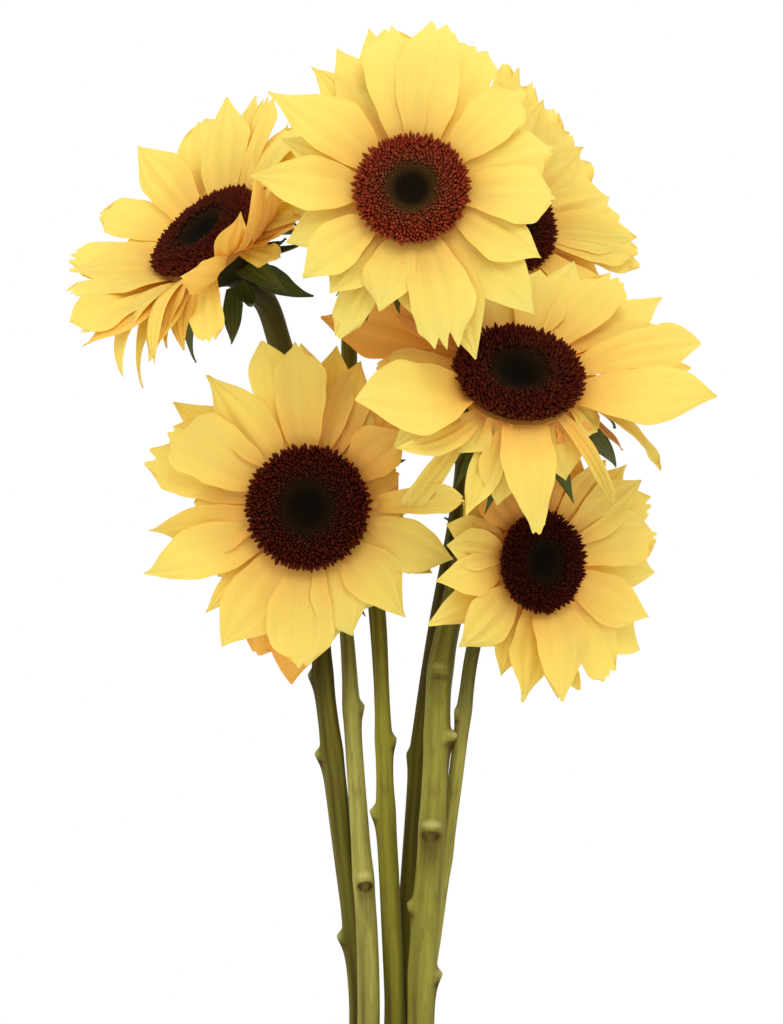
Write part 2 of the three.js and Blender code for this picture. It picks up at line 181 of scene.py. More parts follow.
# A closed bar from rings of points, stations by corners, with a fan over each end.
def tube(rings, uv, **values):
    stations, corners = rings.shape[:2]
    count = stations * corners
    index = np.arange(count).reshape(stations, corners)
    ahead = np.roll(index, -1, 1)
    sides = np.stack([index[:-1], ahead[:-1], ahead[1:], index[1:]], -1).reshape(-1, 4)
    start = np.stack([np.full(corners, count), ahead[0], index[0]], -1)
    end = np.stack([np.full(corners, count + 1), index[-1], ahead[-1]], -1)
    points = np.concatenate([rings.reshape(-1, 3), rings[:1].mean(1), rings[-1:].mean(1)])
    flat = {name: np.ravel(np.broadcast_to(value, index.shape)) for name, value in values.items()}
    flat = {name: np.concatenate([value, value[[0, -1]]]) for name, value in flat.items()}
    uv = np.concatenate([uv.reshape(-1, 2), uv[0, :1], uv[-1, :1]])
    return outward(patch(points, sides, np.concatenate([start, end]), uv=uv, **flat))


# A profile of (radius, height) pairs carried round +Z. It starts and ends on the axis, or closes as a loop.
def turned(profile, sides, loop=False, **values):
    profile = np.asarray(profile, float)
    inner = profile if loop else profile[1:-1]
    angle = np.arange(sides) * 2 * np.pi / sides
    radius, height = inner[:, :1], inner[:, 1:]
    rings = np.stack([radius * np.cos(angle), radius * np.sin(angle), height + 0 * angle], -1)
    travel = np.concatenate([[0], np.cumsum(np.hypot(*np.diff(inner, axis=0).T))])
    uv = np.stack(np.broadcast_arrays(angle / (2 * np.pi), travel[:, None]), -1)
    if not loop:
        made = tube(rings, uv, **values)
        made["points"][-2:] = [[0, 0, profile[0, 1]], [0, 0, profile[-1, 1]]]
        return outward(made)
    index = np.arange(len(inner) * sides).reshape(len(inner), sides)
    ahead, above = np.roll(index, -1, 1), np.roll(index, -1, 0)
    faces = np.stack([index, ahead, np.roll(above, -1, 1), above], -1)
    return outward(patch(rings, faces, uv=uv, **values))


# A patch in mm as one smooth-shaded object that rides on the root and stands for the named nodes.
def makePiece(name, made, material, slotName, *nodes, sharpFrom=50):
    mesh = bpy.data.meshes.new(name)
    corners = np.concatenate([made["quads"].ravel(), made["tris"].ravel()])
    sizes = np.concatenate([np.full(len(made["quads"]), 4), np.full(len(made["tris"]), 3)])
    mesh.vertices.add(len(made["points"]))
    mesh.vertices.foreach_set("co", (made["points"] * mm).ravel())
    mesh.loops.add(len(corners))
    mesh.loops.foreach_set("vertex_index", corners.astype(np.int32))
    mesh.polygons.add(len(sizes))
    mesh.polygons.foreach_set("loop_start", (np.cumsum(sizes) - sizes).astype(np.int32))
    mesh.update(calc_edges=True)
    mesh.shade_smooth()
    mesh.set_sharp_from_angle(angle=np.radians(sharpFrom))
    mesh.uv_layers.new(name="surfaceMap").uv.foreach_set("vector", made["uv"][corners].ravel())
    for key in sorted(set(made) - {"points", "quads", "tris", "uv"}):
        values = np.ascontiguousarray(made[key], float)
        mesh.attributes.new(key, "FLOAT", "POINT").data.foreach_set("value", values)
    mesh.materials.append(material)
    piece = placed(name, mesh)
    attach(piece, "root")
    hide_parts(*nodes)
    print(f"{name}: {len(sizes)} faces")
    return piece


# Small tools for finishes.
def newFinish(name):
    material = bpy.data.materials.new(name)
    material.use_nodes = True
    return material, material.node_tree, material.node_tree.nodes["Principled BSDF"]


def put(tree, socket, value):
    if isinstance(value, bpy.types.NodeSocket):
        tree.links.new(value, socket)
    else:
        socket.default_value = value


# A shader node with its properties set. Its inputs are named with _ for a space, and take values or sockets.
def addNode(tree, kind, settings=None, **inputs):
    node = tree.nodes.new("ShaderNode" + kind)
    for key, value in (settings or {}).items():
        setattr(node, key, value)
    for key, value in inputs.items():
        put(tree, node.inputs[key.replace("_", " ")], value)
    return node


def sums(tree, operation, *values):
    node = addNode(tree, "Math", {"operation": operation})
    for socket, value in zip(node.inputs, values):
        put(tree, socket, value)
    return node.outputs[0]


def times(tree, first, second):
    return sums(tree, "MULTIPLY", first, second)


# The shader's own sockets: its colour, and plain numbers by the sockets' names with _ for a space.
def coat(tree, shader, colour, **numbers):
    put(tree, shader.inputs["Base Color"], colour)
    for name, number in numbers.items():
        shader.inputs[name.replace("_", " ")].default_value = number


def blended(tree, share, first, second):
    node = addNode(tree, "Mix", {"data_type": "RGBA"})
    for socket, value in zip((node.inputs[0], node.inputs[6], node.inputs[7]), (share, first, second)):
        put(tree, socket, value)
    return node.outputs[2]


def mixedShaders(tree, share, first, second):
    both = addNode(tree, "MixShader", Fac=share)
    tree.links.new(first.outputs[0], both.inputs[1])
    tree.links.new(second.outputs[0], both.inputs[2])
    return both.outputs[0]


# A colour under a wash of another, whose share is a value times a strength.
def washed(tree, colour, value, over, strength=1.0):
    share = value if strength == 1.0 else times(tree, value, strength)
    return blended(tree, share, colour, srgb(*over))


# Colours along a share from 0 to 1, from (place, colour) stops.
def ramped(tree, share, stops):
    node = addNode(tree, "ValToRGB", Fac=share)
    marks = node.color_ramp.elements
    for mark, (place, colour) in zip(marks, (stops[0], stops[-1])):
        mark.position, mark.color = place, srgb(*colour)
    for place, colour in stops[1:-1]:
        marks.new(place).color = srgb(*colour)
    return node.outputs[0]


# A value's range stretched over another range, and held at its ends.
def spread(tree, value, fromMin, fromMax, toMin=0.0, toMax=1.0):
    node = addNode(tree, "MapRange", Value=value, From_Min=fromMin, From_Max=fromMax, To_Min=toMin, To_Max=toMax)
    return node.outputs[0]


# Noise on a vector, with the middle of its range stretched to run from 0 to 1.
def speckle(tree, vector, scale, detail=2.0):
    noise = addNode(tree, "TexNoise", Vector=vector, Scale=scale, Detail=detail)
    return spread(tree, noise.outputs[0], 0.3, 0.7)


def ownMap(tree):
    node = addNode(tree, "SeparateXYZ", Vector=addNode(tree, "UVMap", {"uv_map": "surfaceMap"}).outputs[0])
    return node.outputs[0], node.outputs[1]


def ownValue(tree, name):
    return addNode(tree, "Attribute", {"attribute_name": name}).outputs["Fac"]


def ownPlace(tree):
    return addNode(tree, "TexCoord").outputs["Object"]


def joinedVector(tree, x, y, z=0.0):
    return addNode(tree, "CombineXYZ", X=x, Y=y, Z=z).outputs[0]


def bumped(tree, shader, height, strength, distance):
    bump = addNode(tree, "Bump", Height=height, Strength=strength, Distance=distance * mm)
    tree.links.new(bump.outputs[0], shader.inputs["Normal"])


# One entry for each flower, with the frame's own values: where its disc sits and faces, how its rays are held,
# and its stem's path up from the cut end.
#   near: the side of the disc that comes forward; rise, droop: degrees on the far side and on the near side
#   longer: share by which the rays of one side are longer, and that side; fillLength: share of its length that
#     a ray keeps where it stands close to one that shows
#   tone: its yellow, from lemon at 0 to gold at 1, partly its own and partly painted shade where a head lies
#     in the shade of others; ring: its disc, from black to red-brown
#   stemRadius: at the cut end and at the neck; girth: (height, factor) pairs of the stem's thickness
#   bark: (height, lightness) pairs of its green; grey: how far that is greyed
#   scars: (height, the way it faces, size)
flowers = {
    "left": {
        "centre": (-75.7, 12, 585.2), "facing": (-0.56, -0.5, 0.66), "discRadius": 26, "reach": 67,
        "width": 19, "near": 330, "rise": (30, 56), "droop": (14, 88), "longer": (0, 0), "turn": 0,
        "seed": 11, "stemRadius": (4.6, 4.7), "tone": 0.35, "ring": 0.25,
        "bark": ((295, 0.36), (322, 0.62), (395, 0.68), (415, 0.44), (430, 0.5)), "grey": 0.8,
        "fillLength": 0.8,
        "girth": ((267, 1), (340, 0.84), (390, 0.74), (428, 0.58), (480, 0.8), (530, 1.05)),
        "stem": (
            (-15, -22), (-13, -17, 150), (-10.6, -11.5, 222), (-9.5, -9, 267), (-10.3, -3, 300),
            (-12.9, 6, 335), (-16.3, 22, 380), (-19.9, 36, 428), (-29.5, 45, 480), (-37, 47, 512),
            (-46.7, 43, 541), (-53, 36, 560),
        ),
        "scars": ((391, 0, 0.7), (322, 278, 1.1), (236, 190, 0.8), (170, 60, 0.9), (98, 240, 0.7)),
    },
    "front": {
        "centre": (-33.8, -4, 473.5), "facing": (-0.12, -0.991, 0.05), "discRadius": 26, "reach": 70,
        "width": 19.5, "near": 270, "rise": (12, 12), "droop": (20, 24), "longer": (0, 0), "turn": 10,
        "seed": 23, "stemRadius": (4.3, 4.1), "tone": 0.5, "ring": 0.2, "bark": ((260, 0.0), (430, 0.05)),
        "grey": 0.25, "fillLength": 0.56, "girth": ((290, 1), (372, 1.08), (405, 1.04)),
        "stem": (
            (-26, 6), (-21, 5, 150), (-15.6, 4, 222), (-13.3, 3.4, 267), (-16, 8, 300), (-20.1, 13, 333),
            (-24.9, 20, 372), (-28.8, 25, 405), (-30.5, 29, 430),
        ),
        "scars": ((405, 185, 0.8), (372, 175, 1.0), (298, 180, 1.0), (225, 20, 0.8), (140, 250, 0.9)),
    },
    "top": {
        "centre": (7.9, -45, 598.5), "facing": (-0.05, -0.965, 0.26), "discRadius": 23.5, "reach": 73,
        "width": 19, "near": 270, "rise": (12, 10), "droop": (20, 20), "longer": (0, 0), "turn": 0,
        "seed": 5, "stemRadius": (4.1, 3.6),
        "girth": ((300, 1.06), (340, 1.03), (360, 0.93), (402, 0.84), (425, 0.92)), "tone": 0.1, "ring": 1.0,
        "bark": ((310, 0.22), (345, 0.4), (385, 0.5), (405, 0.3)), "grey": 0.1, "fillLength": 0.62,
        "stem": (
            (2, -9), (2, -6, 150), (1.4, -3.6, 222), (1.1, -3, 267), (-0.6, 0, 310), (-2.6, 5, 350),
            (-4, 12, 392), (-6.2, 20, 431), (-12, 25, 480), (-17.5, 21, 525), (-15, 13, 560),
        ),
        "scars": ((379, 0, 0.7), (349, 180, 1.0), (262, 100, 0.8), (200, 250, 0.9), (120, 40, 0.7)),
    },
    "rear": {
        "centre": (48.6, 59, 597), "facing": (0.595, -0.761, 0.259), "discRadius": 24.5, "reach": 74,
        "width": 18.5, "near": 190, "rise": (18, 12), "droop": (18, 16), "longer": (0.1, 350), "turn": 7,
        "seed": 37, "stemRadius": (3.7, 3.4), "tone": 0.35, "ring": 0.2,
        "bark": ((260, -0.05), (400, -0.05)), "grey": 0.0, "fillLength": 0.72,
        "stem": (
            (3, 25), (4.6, 18, 150), (4.9, 10.8, 222), (5, 9.5, 267), (5.7, 10, 297), (8.7, 13, 344),
            (11.2, 17, 374), (14.6, 22, 398), (19, 28, 425), (30, 50, 490), (31, 66, 545),
        ),
        "scars": ((372, 180, 0.45), (290, 60, 0.8), (215, 150, 0.9), (130, 320, 0.8)),
    },
    "middle": {
        "centre": (50.4, -32, 524.8), "facing": (0.116, -0.731, 0.672), "discRadius": 27, "reach": 73,
        "width": 21, "near": 270, "rise": (4, -28), "droop": (10, 12), "longer": (0.2, 30), "turn": 5,
        "seed": 41, "stemRadius": (5.4, 5.0), "tone": 0.4, "ring": 0.25,
        "bark": ((270, 0.38), (335, 0.36), (355, 0.5), (395, 0.5), (415, 0.28)), "grey": 0.4,
        "fillLength": 0.62, "girth": ((267, 1.06), (380, 1.02), (410, 1)),
        "stem": (
            (23, -17), (18, -13.5, 150), (12.6, -9.4, 222), (11.7, -8, 267), (13.1, -7, 298),
            (15.8, -4, 335), (18.2, 2, 372), (19.8, 7, 405), (24.5, 12, 430), (33, 14, 462), (41, 10, 488),
        ),
        "scars": (
            (408, 262, 0.6), (381, 340, 1.25), (344, 265, 1.3), (312, 180, 0.8), (285, 0, 0.9),
            (205, 200, 1.0), (110, 300, 0.8),
        ),
    },
    "low": {
        "centre": (58.6, -18, 451.8), "facing": (0.53, -0.848, 0.0), "discRadius": 21, "reach": 59,
        "width": 17, "near": 180, "rise": (6, 2), "droop": (8, 20), "longer": (0.12, 315), "turn": 9,
        "seed": 53, "stemRadius": (3.2, 3.0), "tone": 0.55, "ring": 0.1,
        "bark": ((300, 0.6), (390, 0.58), (405, 0.4)), "grey": 0.6, "fillLength": 0.6,
        "stem": (
            (26, 8), (21, 7, 150), (14.6, 5.4, 222), (12.9, 4, 267), (17.4, 6, 298), (23.2, 7, 340),
            (26.6, 5, 366), (29.4, 3, 388), (32.6, 1.5, 412), (36.8, 0, 430),
        ),
        "scars": ((390, 215, 0.5), (330, 80, 0.7), (230, 330, 0.9), (150, 120, 0.8)),
    },
}


# How a ray is held that bends in front of its own head, where its tip alone doesn't tell how it lies: degrees,
# its length in mm, and the bend as a share of that.
def lying(azimuth, length, rise, droop, bend, twist, cup, **more):
    held = {"azimuth": azimuth, "length": length, "rise": rise, "droop": droop, "bend": bend, "twist": twist}
    return {**held, "cup": cup, "cupEnd": 0, "curl": 0, **more}


# The rays whose tips show: (x, y) of the tip in the photo's 783 x 1024 frame, the ray's width in mm, its row
# from the front, its tip, and what else is its own. tone adds to its head's: gold at 1, orange at 2, a deep
# painted shade at 3. The orange is partly painted shade, on rays that lie in the shade of others, and partly the
# oranger yellow of older rays.
shownRays = {
    "left": (
        (138, 147, 19, 0, "point"), (199, 121, 24, 1, "round"), (228, 98, 21, 0, "point"),
        (256, 96, 20, 1, "point"), (269, 97, 16, 0, "blunt"),
        (288, 125, 18, 1, "point", {"tone": 0.6, "rise": 6, "droop": 4}),
        (290, 146, 22, 2, "point", {"tone": 0.5, "rise": 4}),
        (296, 228, 13, 2, "point", {"tone": 1.3, "rise": 8, "droop": 8}), (98, 213, 17, 1, "round"),
        (72, 254, 25, 0, "blunt", lying(209, 41.5, 30, 1, -0.1, 6, 10)),
        (70, 272, 22, 1, "point", {"rise": 44, "droop": 26, "twist": 0, "cup": 10}),
        (69, 293, 22, 0, "blunt", {"rise": 46, "droop": 22, "cup": 8, "twist": 0}),
        (70, 317, 19, 1, "broad", lying(261, 65, 30, -6, 0.35, -44, 17)),
        (74, 322, 24, 2, "round", {"rise": 40, "droop": 30, "twist": 0, "cup": 6}),
        (85, 357, 13, 2, "point", lying(277, 68, 26, 5, 0.03, -30, 0, tone=1.0)),
        (122, 378, 13, 2, "spear", {"rise": 42, "droop": 60, "curl": 50, "cup": 50}),
        (82, 334, 17, 2, "blunt", {"rise": 38, "droop": 34, "twist": 0}),
        (143, 388, 9, 2, "spear", {"curl": 40, "cup": 60}), (153, 364, 10, 1, "point", {"tone": 0.5}),
        (167, 348, 15, 1, "point", {"tone": 0.8}), (184, 350, 11, 2, "point", {"tone": 1.0}),
        (154, 365, 17, 2, "point", lying(288, 58, 22, 30, 0.07, 12, 5, tone=0.6)),
        (239, 213, 12, 0, "point", lying(333, 43, 25, -25, 0.28, -40, 4, tone=1.0)),
        (183, 280, 13.5, 0, "round", lying(322, 44, 1, -60, -0.27, 47, 50, tone=0.9)),
        (218, 340, 12, 1, "blunt", lying(306, 52, 1, 4, 0.06, -29, 4, tone=0.3)),
        (262, 182, 20, 1, "point", lying(348, 49, 12, -60, 0.21, 19, 44, tone=1.4)),
        (284, 188, 20, 1, "point", lying(0, 36, 2, -66, 0.2, -8, 4, tone=1.4)),
        (299, 214, 10, 1, "round", lying(3, 28, 16, 29, 0.25, 14, 4, tone=1.1)),
        (280, 256, 10, 1, "round", lying(348, 22, -15, 6, 0.13, 3, 10, tone=0.6)),
        (296, 175, 17, 1, "point", {"rise": 20, "droop": 10, "tone": 0.9}),
    ),
    "front": (
        (262, 341, 17, 0, "broad"), (296, 342, 19, 0, "round"), (336, 346, 17, 1, "point", {"tone": 0.6}),
        (361, 362, 17, 1, "point", {"tone": 0.9}), (398, 402, 18, 1, "point", {"tone": 1.2}),
        (404, 432, 19, 0, "point", {"tone": 1.0}), (399, 473, 16, 1, "round", {"tone": 1.0}),
        (406, 521, 15, 0, "point", {"tone": 0.7}),
        (463, 500, 10.5, 1, "round", lying(3, 65, 26, -39, -0.04, 2, 57, tone=0.4)),
        (453, 560, 19, 0, "point"), (431, 571, 16, 1, "point"), (405, 617, 20, 0, "spear"),
        (352, 636, 19, 0, "point"), (326, 648, 18, 1, "round"), (300, 668, 24, 0, "round"),
        (292, 684, 21, 2, "point", {"tone": 1.4}), (257, 656, 20, 2, "round", {"tone": 1.3}),
        (222, 646, 22, 0, "point"), (205, 613, 12, 1, "spear"),
        (144, 571, 20, 1, "spear", lying(206, 55, 14, 49, -0.14, 10, 21)),
        (148, 532, 19.5, 0, "spear", lying(192, 47, 2, 25, -0.12, -44, 56, tone=0.35)),
        (144, 455, 19, 1, "forked"), (168, 432, 24, 0, "round"), (174, 402, 20, 1, "spear"),
        (207, 375, 20, 0, "spear"),
    ),
    "top": (
        (440, 24, 22, 0, "square"), (391, 26, 22, 0, "round"), (419, 44, 19, 1, "round"),
        (369, 30, 14, 1, "point"), (338, 49, 17, 1, "point"), (312, 67, 16, 1, "spear", {"bend": 0.08}),
        (268, 92, 21, 0, "spear", {"bend": 0.12}), (280, 138, 16, 1, "spear", {"bend": -0.06}),
        (250, 176, 20, 0, "spear"), (287, 243, 17, 1, "point"), (303, 278, 18, 0, "point"),
        (330, 293, 18, 1, "point"), (337, 340, 13, 2, "round"), (380, 311, 18, 0, "point"),
        (447, 350, 22, 0, "three"), (476, 359, 17, 1, "point"), (535, 314, 20, 1, "point"),
        (540, 258, 19, 0, "point"), (556, 198, 21, 0, "round"), (553, 148, 20, 1, "round"),
        (526, 90, 18, 0, "round"), (476, 46, 26, 1, "blunt"), (540, 217, 17, 1, "point", {"tone": 0.6}),
    ),
    "rear": (
        (506, 62, 18, 1, "round"), (518, 68, 18, 0, "point"), (532, 83, 18, 1, "round"),
        (543, 100, 18, 0, "point"), (554, 110, 18, 1, "round"), (562, 122, 18, 0, "point"),
        (573, 135, 18, 1, "round"), (582, 149, 18, 0, "point"), (594, 166, 18, 1, "round"),
        (608, 196, 18, 0, "broad", {"rise": 24}), (620, 216, 18, 1, "broad", {"rise": 18}),
        (636, 238, 18, 0, "point", {"rise": 28}), (641, 266, 15, 1, "round", {"rise": 20}),
        (640, 252, 16, 0, "round", {"rise": 26}), (606, 284, 13, 1, "point", {"tone": 1.0}),
    ),
    "middle": (
        (321, 316, 23.5, 1, "point", lying(140, 69, -16, -3, 0.07, -48, 44, tone=1.75)),
        (391, 309, 16, 1, "point", {"tone": 1.5}), (375, 367, 15, 1, "round", {"tone": 0.9}),
        (356, 399, 29, 0, "point", lying(200, 46, 23, 34, -0.18, -46, 58)),
        (459, 453, 16, 1, "point", {"tone": 0.3}),
        (396, 448, 10, 1, "point", lying(223, 39, -24, -43, -0.29, -35, 1)),
        (404, 515, 8.5, 1, "round", lying(223, 66, -34, 74, -0.23, -10, 43)),
        (470, 517, 12, 0, "point", lying(246, 41, -54, -38, -0.03, 9, 50, narrow=0.85)),
        (538, 534, 18.5, 0, "tongue", lying(270, 47, 2, 57, 0.04, 18, 1, narrow=0.85)),
        (497, 505, 17, 1, "point"), (567, 480, 15, 1, "point", {"tone": 0.5}),
        (716, 396, 24, 0, "point", lying(344, 57, 18, 40, 0.29, 29, 4)), (680, 415, 18, 1, "point"),
        (690, 370, 22, 2, "point", {"tone": 0.9}), (394, 446, 17, 2, "point"),
        (701, 346, 16, 0, "broad", lying(14, 60, 24, 48, 0.05, 41, 8)), (684, 328, 18, 1, "point"),
        (661, 299, 20, 1, "point"), (618, 278, 20, 0, "blunt"), (575, 262, 20, 1, "point"),
        (540, 270, 20, 0, "point"), (500, 285, 20, 1, "point"), (450, 300, 20, 0, "point", {"tone": 0.8}),
        (590, 425, 15, 1, "round"),
        (612, 502, 7.5, 0, "tongue", lying(306, 48, -7, 89, 0.24, 0, 50, tone=0.3)),
        (580, 447, 15, 1, "round", {"tone": 1.4}),
        (660, 471, 5, 2, "round", lying(342, 60, -9, 70, 0.17, 15, 62, narrow=0.8)),
        (622, 450, 3, 2, "point", {"tone": 2.0}),
    ),
    "low": (
        (626, 466, 16, 1, "point"), (640, 480, 17, 0, "point"), (652, 505, 19, 1, "blunt"),
        (657, 534, 20, 0, "round"), (655, 572, 20, 1, "point"), (648, 616, 19, 0, "point"),
        (641, 649, 19, 1, "broad"), (610, 677, 21, 0, "blunt"), (577, 690, 16, 1, "point"),
        (559, 699, 15, 1, "point"), (562, 702, 27, 0, "point", lying(286, 39, 29, 21, -0.3, -29, 2)),
        (522, 702, 20, 0, "spear"), (501, 676, 14, 1, "point"), (460, 648, 20, 0, "point"),
        (428, 624, 16, 1, "spear"), (436, 581, 15, 0, "spear"), (447, 545, 15, 0, "point"),
        (446, 524, 14, 1, "point"), (480, 480, 16, 0, "point", {"tone": 1.2}),
        (510, 462, 16, 1, "point", {"tone": 1.2}), (545, 456, 16, 0, "point", {"tone": 1.2}),
        (580, 455, 16, 1, "point", {"tone": 1.0}), (605, 460, 16, 0, "point", {"tone": 0.6}),
    ),
}

# The bracts whose tips show: (x, y) of the tip in the photo's frame, width in mm, and what else is its own.
shownBracts = {
    "left": (
        (314, 296, 15.4, lying(5, 27.5, -77, -30, 0.23, -3, 56, root=(9, -20.5), cupEnd=50)),
        (307, 240, 6, {"root": (10, -14), "rise": -30, "droop": -30, "longest": 45}),
        (286, 238, 9, {"root": (9, -16), "rise": -10, "droop": -20, "longest": 42}),
        (231, 292, 9, lying(315, 22.5, -44, -86, 0.12, -43, 55, root=(9, -20.5), cupEnd=50)),
        (231, 345, 10.5, lying(289, 34.5, -31, -45, 0.24, -4, 3, root=(9, -20.5))), (197, 362, 12),
        (175, 351, 7, {"curl": 40}),
    ),
    "top": ((366, 322, 11), (400, 313, 11)),
    "middle": (
        (617, 467, 20, {"cup": 10, "cupEnd": 20}), (618, 431, 9), (574, 503, 12), (485, 515, 9), (456, 488, 9),
    ),
    "low": ((441, 604, 10, {"longest": 50}), (447, 541, 9, {"longest": 50}), (444, 518, 8, {"longest": 50})),
}


# Repeatable numbers from 0 to 1, by the same rule as the frame's own.
def numbersFrom(seed):
    state = seed
    while True:
        state = (state * 1664525 + 1013904223) % 4294967296
        yield state / 4294967296


# A small change of each named thing, up to half its value to either side.
def jittered(number, most):
    return {name: (next(number) - 0.5) * value for name, value in most.items()}


# The frame of a head: its third axis is the way it faces, its first lies level to the right, its origin is
# the disc's centre. Rows of the matrix are the axes.
def headAxes(flower):
    facing = unit(flower["facing"])
    level = unit(np.cross((0, 0, 1), facing))
    return np.array([level, np.cross(facing, level), facing])


def toWorld(flower, points):
    return np.asarray(points) @ headAxes(flower) + flower["centre"]


# The rise or droop at an azimuth. It leaves the far side's slowly and gathers towards the near side.
def heldAt(flower, name, azimuth):
    far, near = flower[name]
    nearness = ((1 + np.cos(azimuth - np.radians(flower["near"]))) / 2) ** 2
    return far + (near - far) * nearness


# Where the camera sees a point, in pixels of the photo.
def seenAt(point):
    perPixel = (view["distance"] + point[1]) * view["mmPerPixel"] / view["distance"]
    middleX, middleY = view["middle"]
    return np.array([middleX + point[0] / perPixel, middleY - (point[2] - view["height"]) / perPixel])


rayForm = {
    "columns": 13, "stations": 32, "thickness": 0.5, "edge": 0.45,  # edge: share of the thickness left at the sides
    "wider": 1.16, "claw": 0.46,  # claw: share of the width at the root
    "rootIn": 3, "rootDown": 0.6, "rowDown": 1.4, "rowRise": 9, "perRow": 13,
    # the ring's tone gives the petals' ring under the disc's edge an orange painted shade
    "ragged": 0.035, "ringDepth": 3.6, "ringWidth": 4, "ringIn": 2, "ringSides": 60, "ringShade": 1.6,
    "clearOf": 8,  # degrees: a ray of the frame's own rule stays out this near to one that shows
    "crowdedBy": 20,  # degrees: and goes one row back, and shorter, this near
    "tips": ("point", "point", "forked", "round"),  # of the frame's own rays, drawn at random
    # how uneven those are: places in the row, shares of the length and the width, degrees, share of the droop
    "jitter": {"place": 0.3, "length": 0.16, "width": 0.16, "rise": 5, "droop": 0.3},
}

# What differs from ray to ray, between two values: degrees, shares of the length, mm, waves. riseMore and
# droopMore are added to its head's rise and droop.
rayVaries = {
    "twist": (-16, 16), "bend": (-0.07, 0.07), "curl": (-6, 16), "cup": (10, 44), "cupEnd": (-26, 16),
    "fold": (0.4, 0.95), "wave": (0.4, 1.5), "waves": (1.2, 2.4), "phase": (0, 6.28), "sag": (-0.8, 0.8),
    "riseMore": (-3, 3), "droopMore": (-4, 4), "tone": (-0.3, 0.3), "skew": (-0.16, 0.16),
}


# One draw between each pair of values, in their order.
def drawn(varies, draw):
    return {name: draw.uniform(*ends) for name, ends in varies.items()}


# widest: where along the blade the sides start to close; end: the width left at the tip as a share of the widest;
# power: how late the sides close in; cusp: how much of the closing is drawn out into a point; rounded: how far
# the corners of the end fall back; notch and lobes: the depth and number of the points that the end is cut into.
def tipForm(widest, end, power, cusp=0.0, rounded=0.0, notch=0.0, lobes=1):
    return {
        "widest": widest, "end": end, "power": power, "cusp": cusp, "rounded": rounded, "notch": notch,
        "lobes": lobes,
    }


tipForms = {
    "point": tipForm(0.54, 0.02, 2.4, cusp=0.55),
    "spear": tipForm(0.42, 0.02, 1.8, cusp=0.5),
    "round": tipForm(0.6, 0.3, 3.4, rounded=0.09, notch=0.03, lobes=3),
    "blunt": tipForm(0.62, 0.5, 3.0, rounded=0.03, notch=0.06, lobes=3),
    "forked": tipForm(0.6, 0.56, 2.8, rounded=0.03, notch=0.15, lobes=2),
    "broad": tipForm(0.68, 0.04, 2.2, cusp=0.25),
    "tongue": tipForm(0.4, 0.3, 1.2, cusp=0.6, rounded=0.08),
    "square": tipForm(0.5, 0.5, 2.6, notch=0.05, lobes=2),
    "three": tipForm(0.6, 0.55, 2.8, rounded=0.03, notch=0.14, lobes=3),
}


# The line of a blade's middle: it leaves its root at the angle rise, turns back evenly by droop along its length
# and by curl more towards the tip. Its points are the running sums of the steps' cosines and sines.
def midrib(blade, stations):
    share = np.linspace(0, 1, stations)
    angle = np.radians(blade["rise"] - blade["droop"] * share - blade["curl"] * share**4)
    halfway = (angle[1:] + angle[:-1]) / 2
    step = blade["length"] / (stations - 1)
    out = np.concatenate([[0], np.cumsum(np.cos(halfway))]) * step
    up = np.concatenate([[0], np.cumsum(np.sin(halfway))]) * step
    return share, angle, out, up


# The blade's tip in the world, with the sideways bend that grows as the square of the way along.
def tipOf(flower, blade):
    out, up = (line[-1] for line in midrib(blade, aiming["stations"])[2:])
    azimuth = blade["azimuth"]
    away = blade["root"][0] + out
    sway = blade["length"] * blade["bend"]
    local = (
        away * np.cos(azimuth) - sway * np.sin(azimuth), away * np.sin(azimuth) + sway * np.cos(azimuth),
        blade["root"][1] + up,
    )
    return toWorld(flower, local)


# The stations that a blade's tip is worked out from. Newton's steps: how many, the small changes that measure the
# slopes and the longest step, each as an azimuth in radians and a length in mm. A blade's shortest and longest
# length as shares of its head's reach, and the miss in pixels that is worth a line of print.
aiming = {
    "stations": 24, "steps": 30, "nudge": (1e-4, 1e-2), "farthest": np.array((0.15, 6)),
    "shortest": 0.2, "longest": 1.1, "miss": 2,
}


# The azimuth and length that put a blade's tip at a place in the photo: Newton's steps on both at once, from
# where the camera's line through the tip meets the disc's plane.
def aimBlade(flower, blade, tip, held):
    eye = np.array([0, -view["distance"], view["height"]], float)
    perPixel = view["mmPerPixel"]
    line = np.array([
        (tip[0] - view["middle"][0]) * perPixel, view["distance"], (view["middle"][1] - tip[1]) * perPixel,
    ])
    axes = headAxes(flower)
    centre = np.asarray(flower["centre"])
    reached = eye + line * ((centre - eye) @ axes[2]) / (line @ axes[2])
    local = axes @ (reached - centre)
    place = np.array([np.arctan2(local[1], local[0]), np.hypot(local[0], local[1]) - blade["root"][0]])
    if "azimuth" in held:
        place[0] = np.radians(held["azimuth"])
    lowest = aiming["shortest"] * flower["reach"]
    highest = held.get("longest", aiming["longest"] * flower["reach"])

    def missAt(azimuth, length):
        blade["azimuth"], blade["length"] = azimuth, length
        for name in ("rise", "droop"):
            blade[name] = held.get(name, heldAt(flower, name, azimuth) + blade[name + "More"])
        return seenAt(tipOf(flower, blade)) - tip

    if "length" in held:
        missAt(place[0], held["length"])
        return blade
    place[1] = np.clip(place[1], lowest, highest)
    for _ in range(aiming["steps"]):
        miss = missAt(*place)
        nudges = np.diag(aiming["nudge"])
        slopes = np.stack([(missAt(*(place + nudge)) - miss) / nudge.sum() for nudge in nudges], -1)
        step = np.linalg.lstsq(slopes, -miss, rcond=1e-3)[0]
        place = place + np.clip(step, -aiming["farthest"], aiming["farthest"])
        place[1] = np.clip(place[1], lowest, highest)
    left = np.abs(missAt(*place)).max()
    if left > aiming["miss"]:
        print(f"  tip {tip} is {left:.0f} pixels off")
    return blade


# The unevenness of every blade, as (share, waves): nicks in a cut end, and slow and quick ripples of the sides.
ripples = {"nicks": (0.02, 7), "slow": (1, 9), "quick": (0.6, 23)}


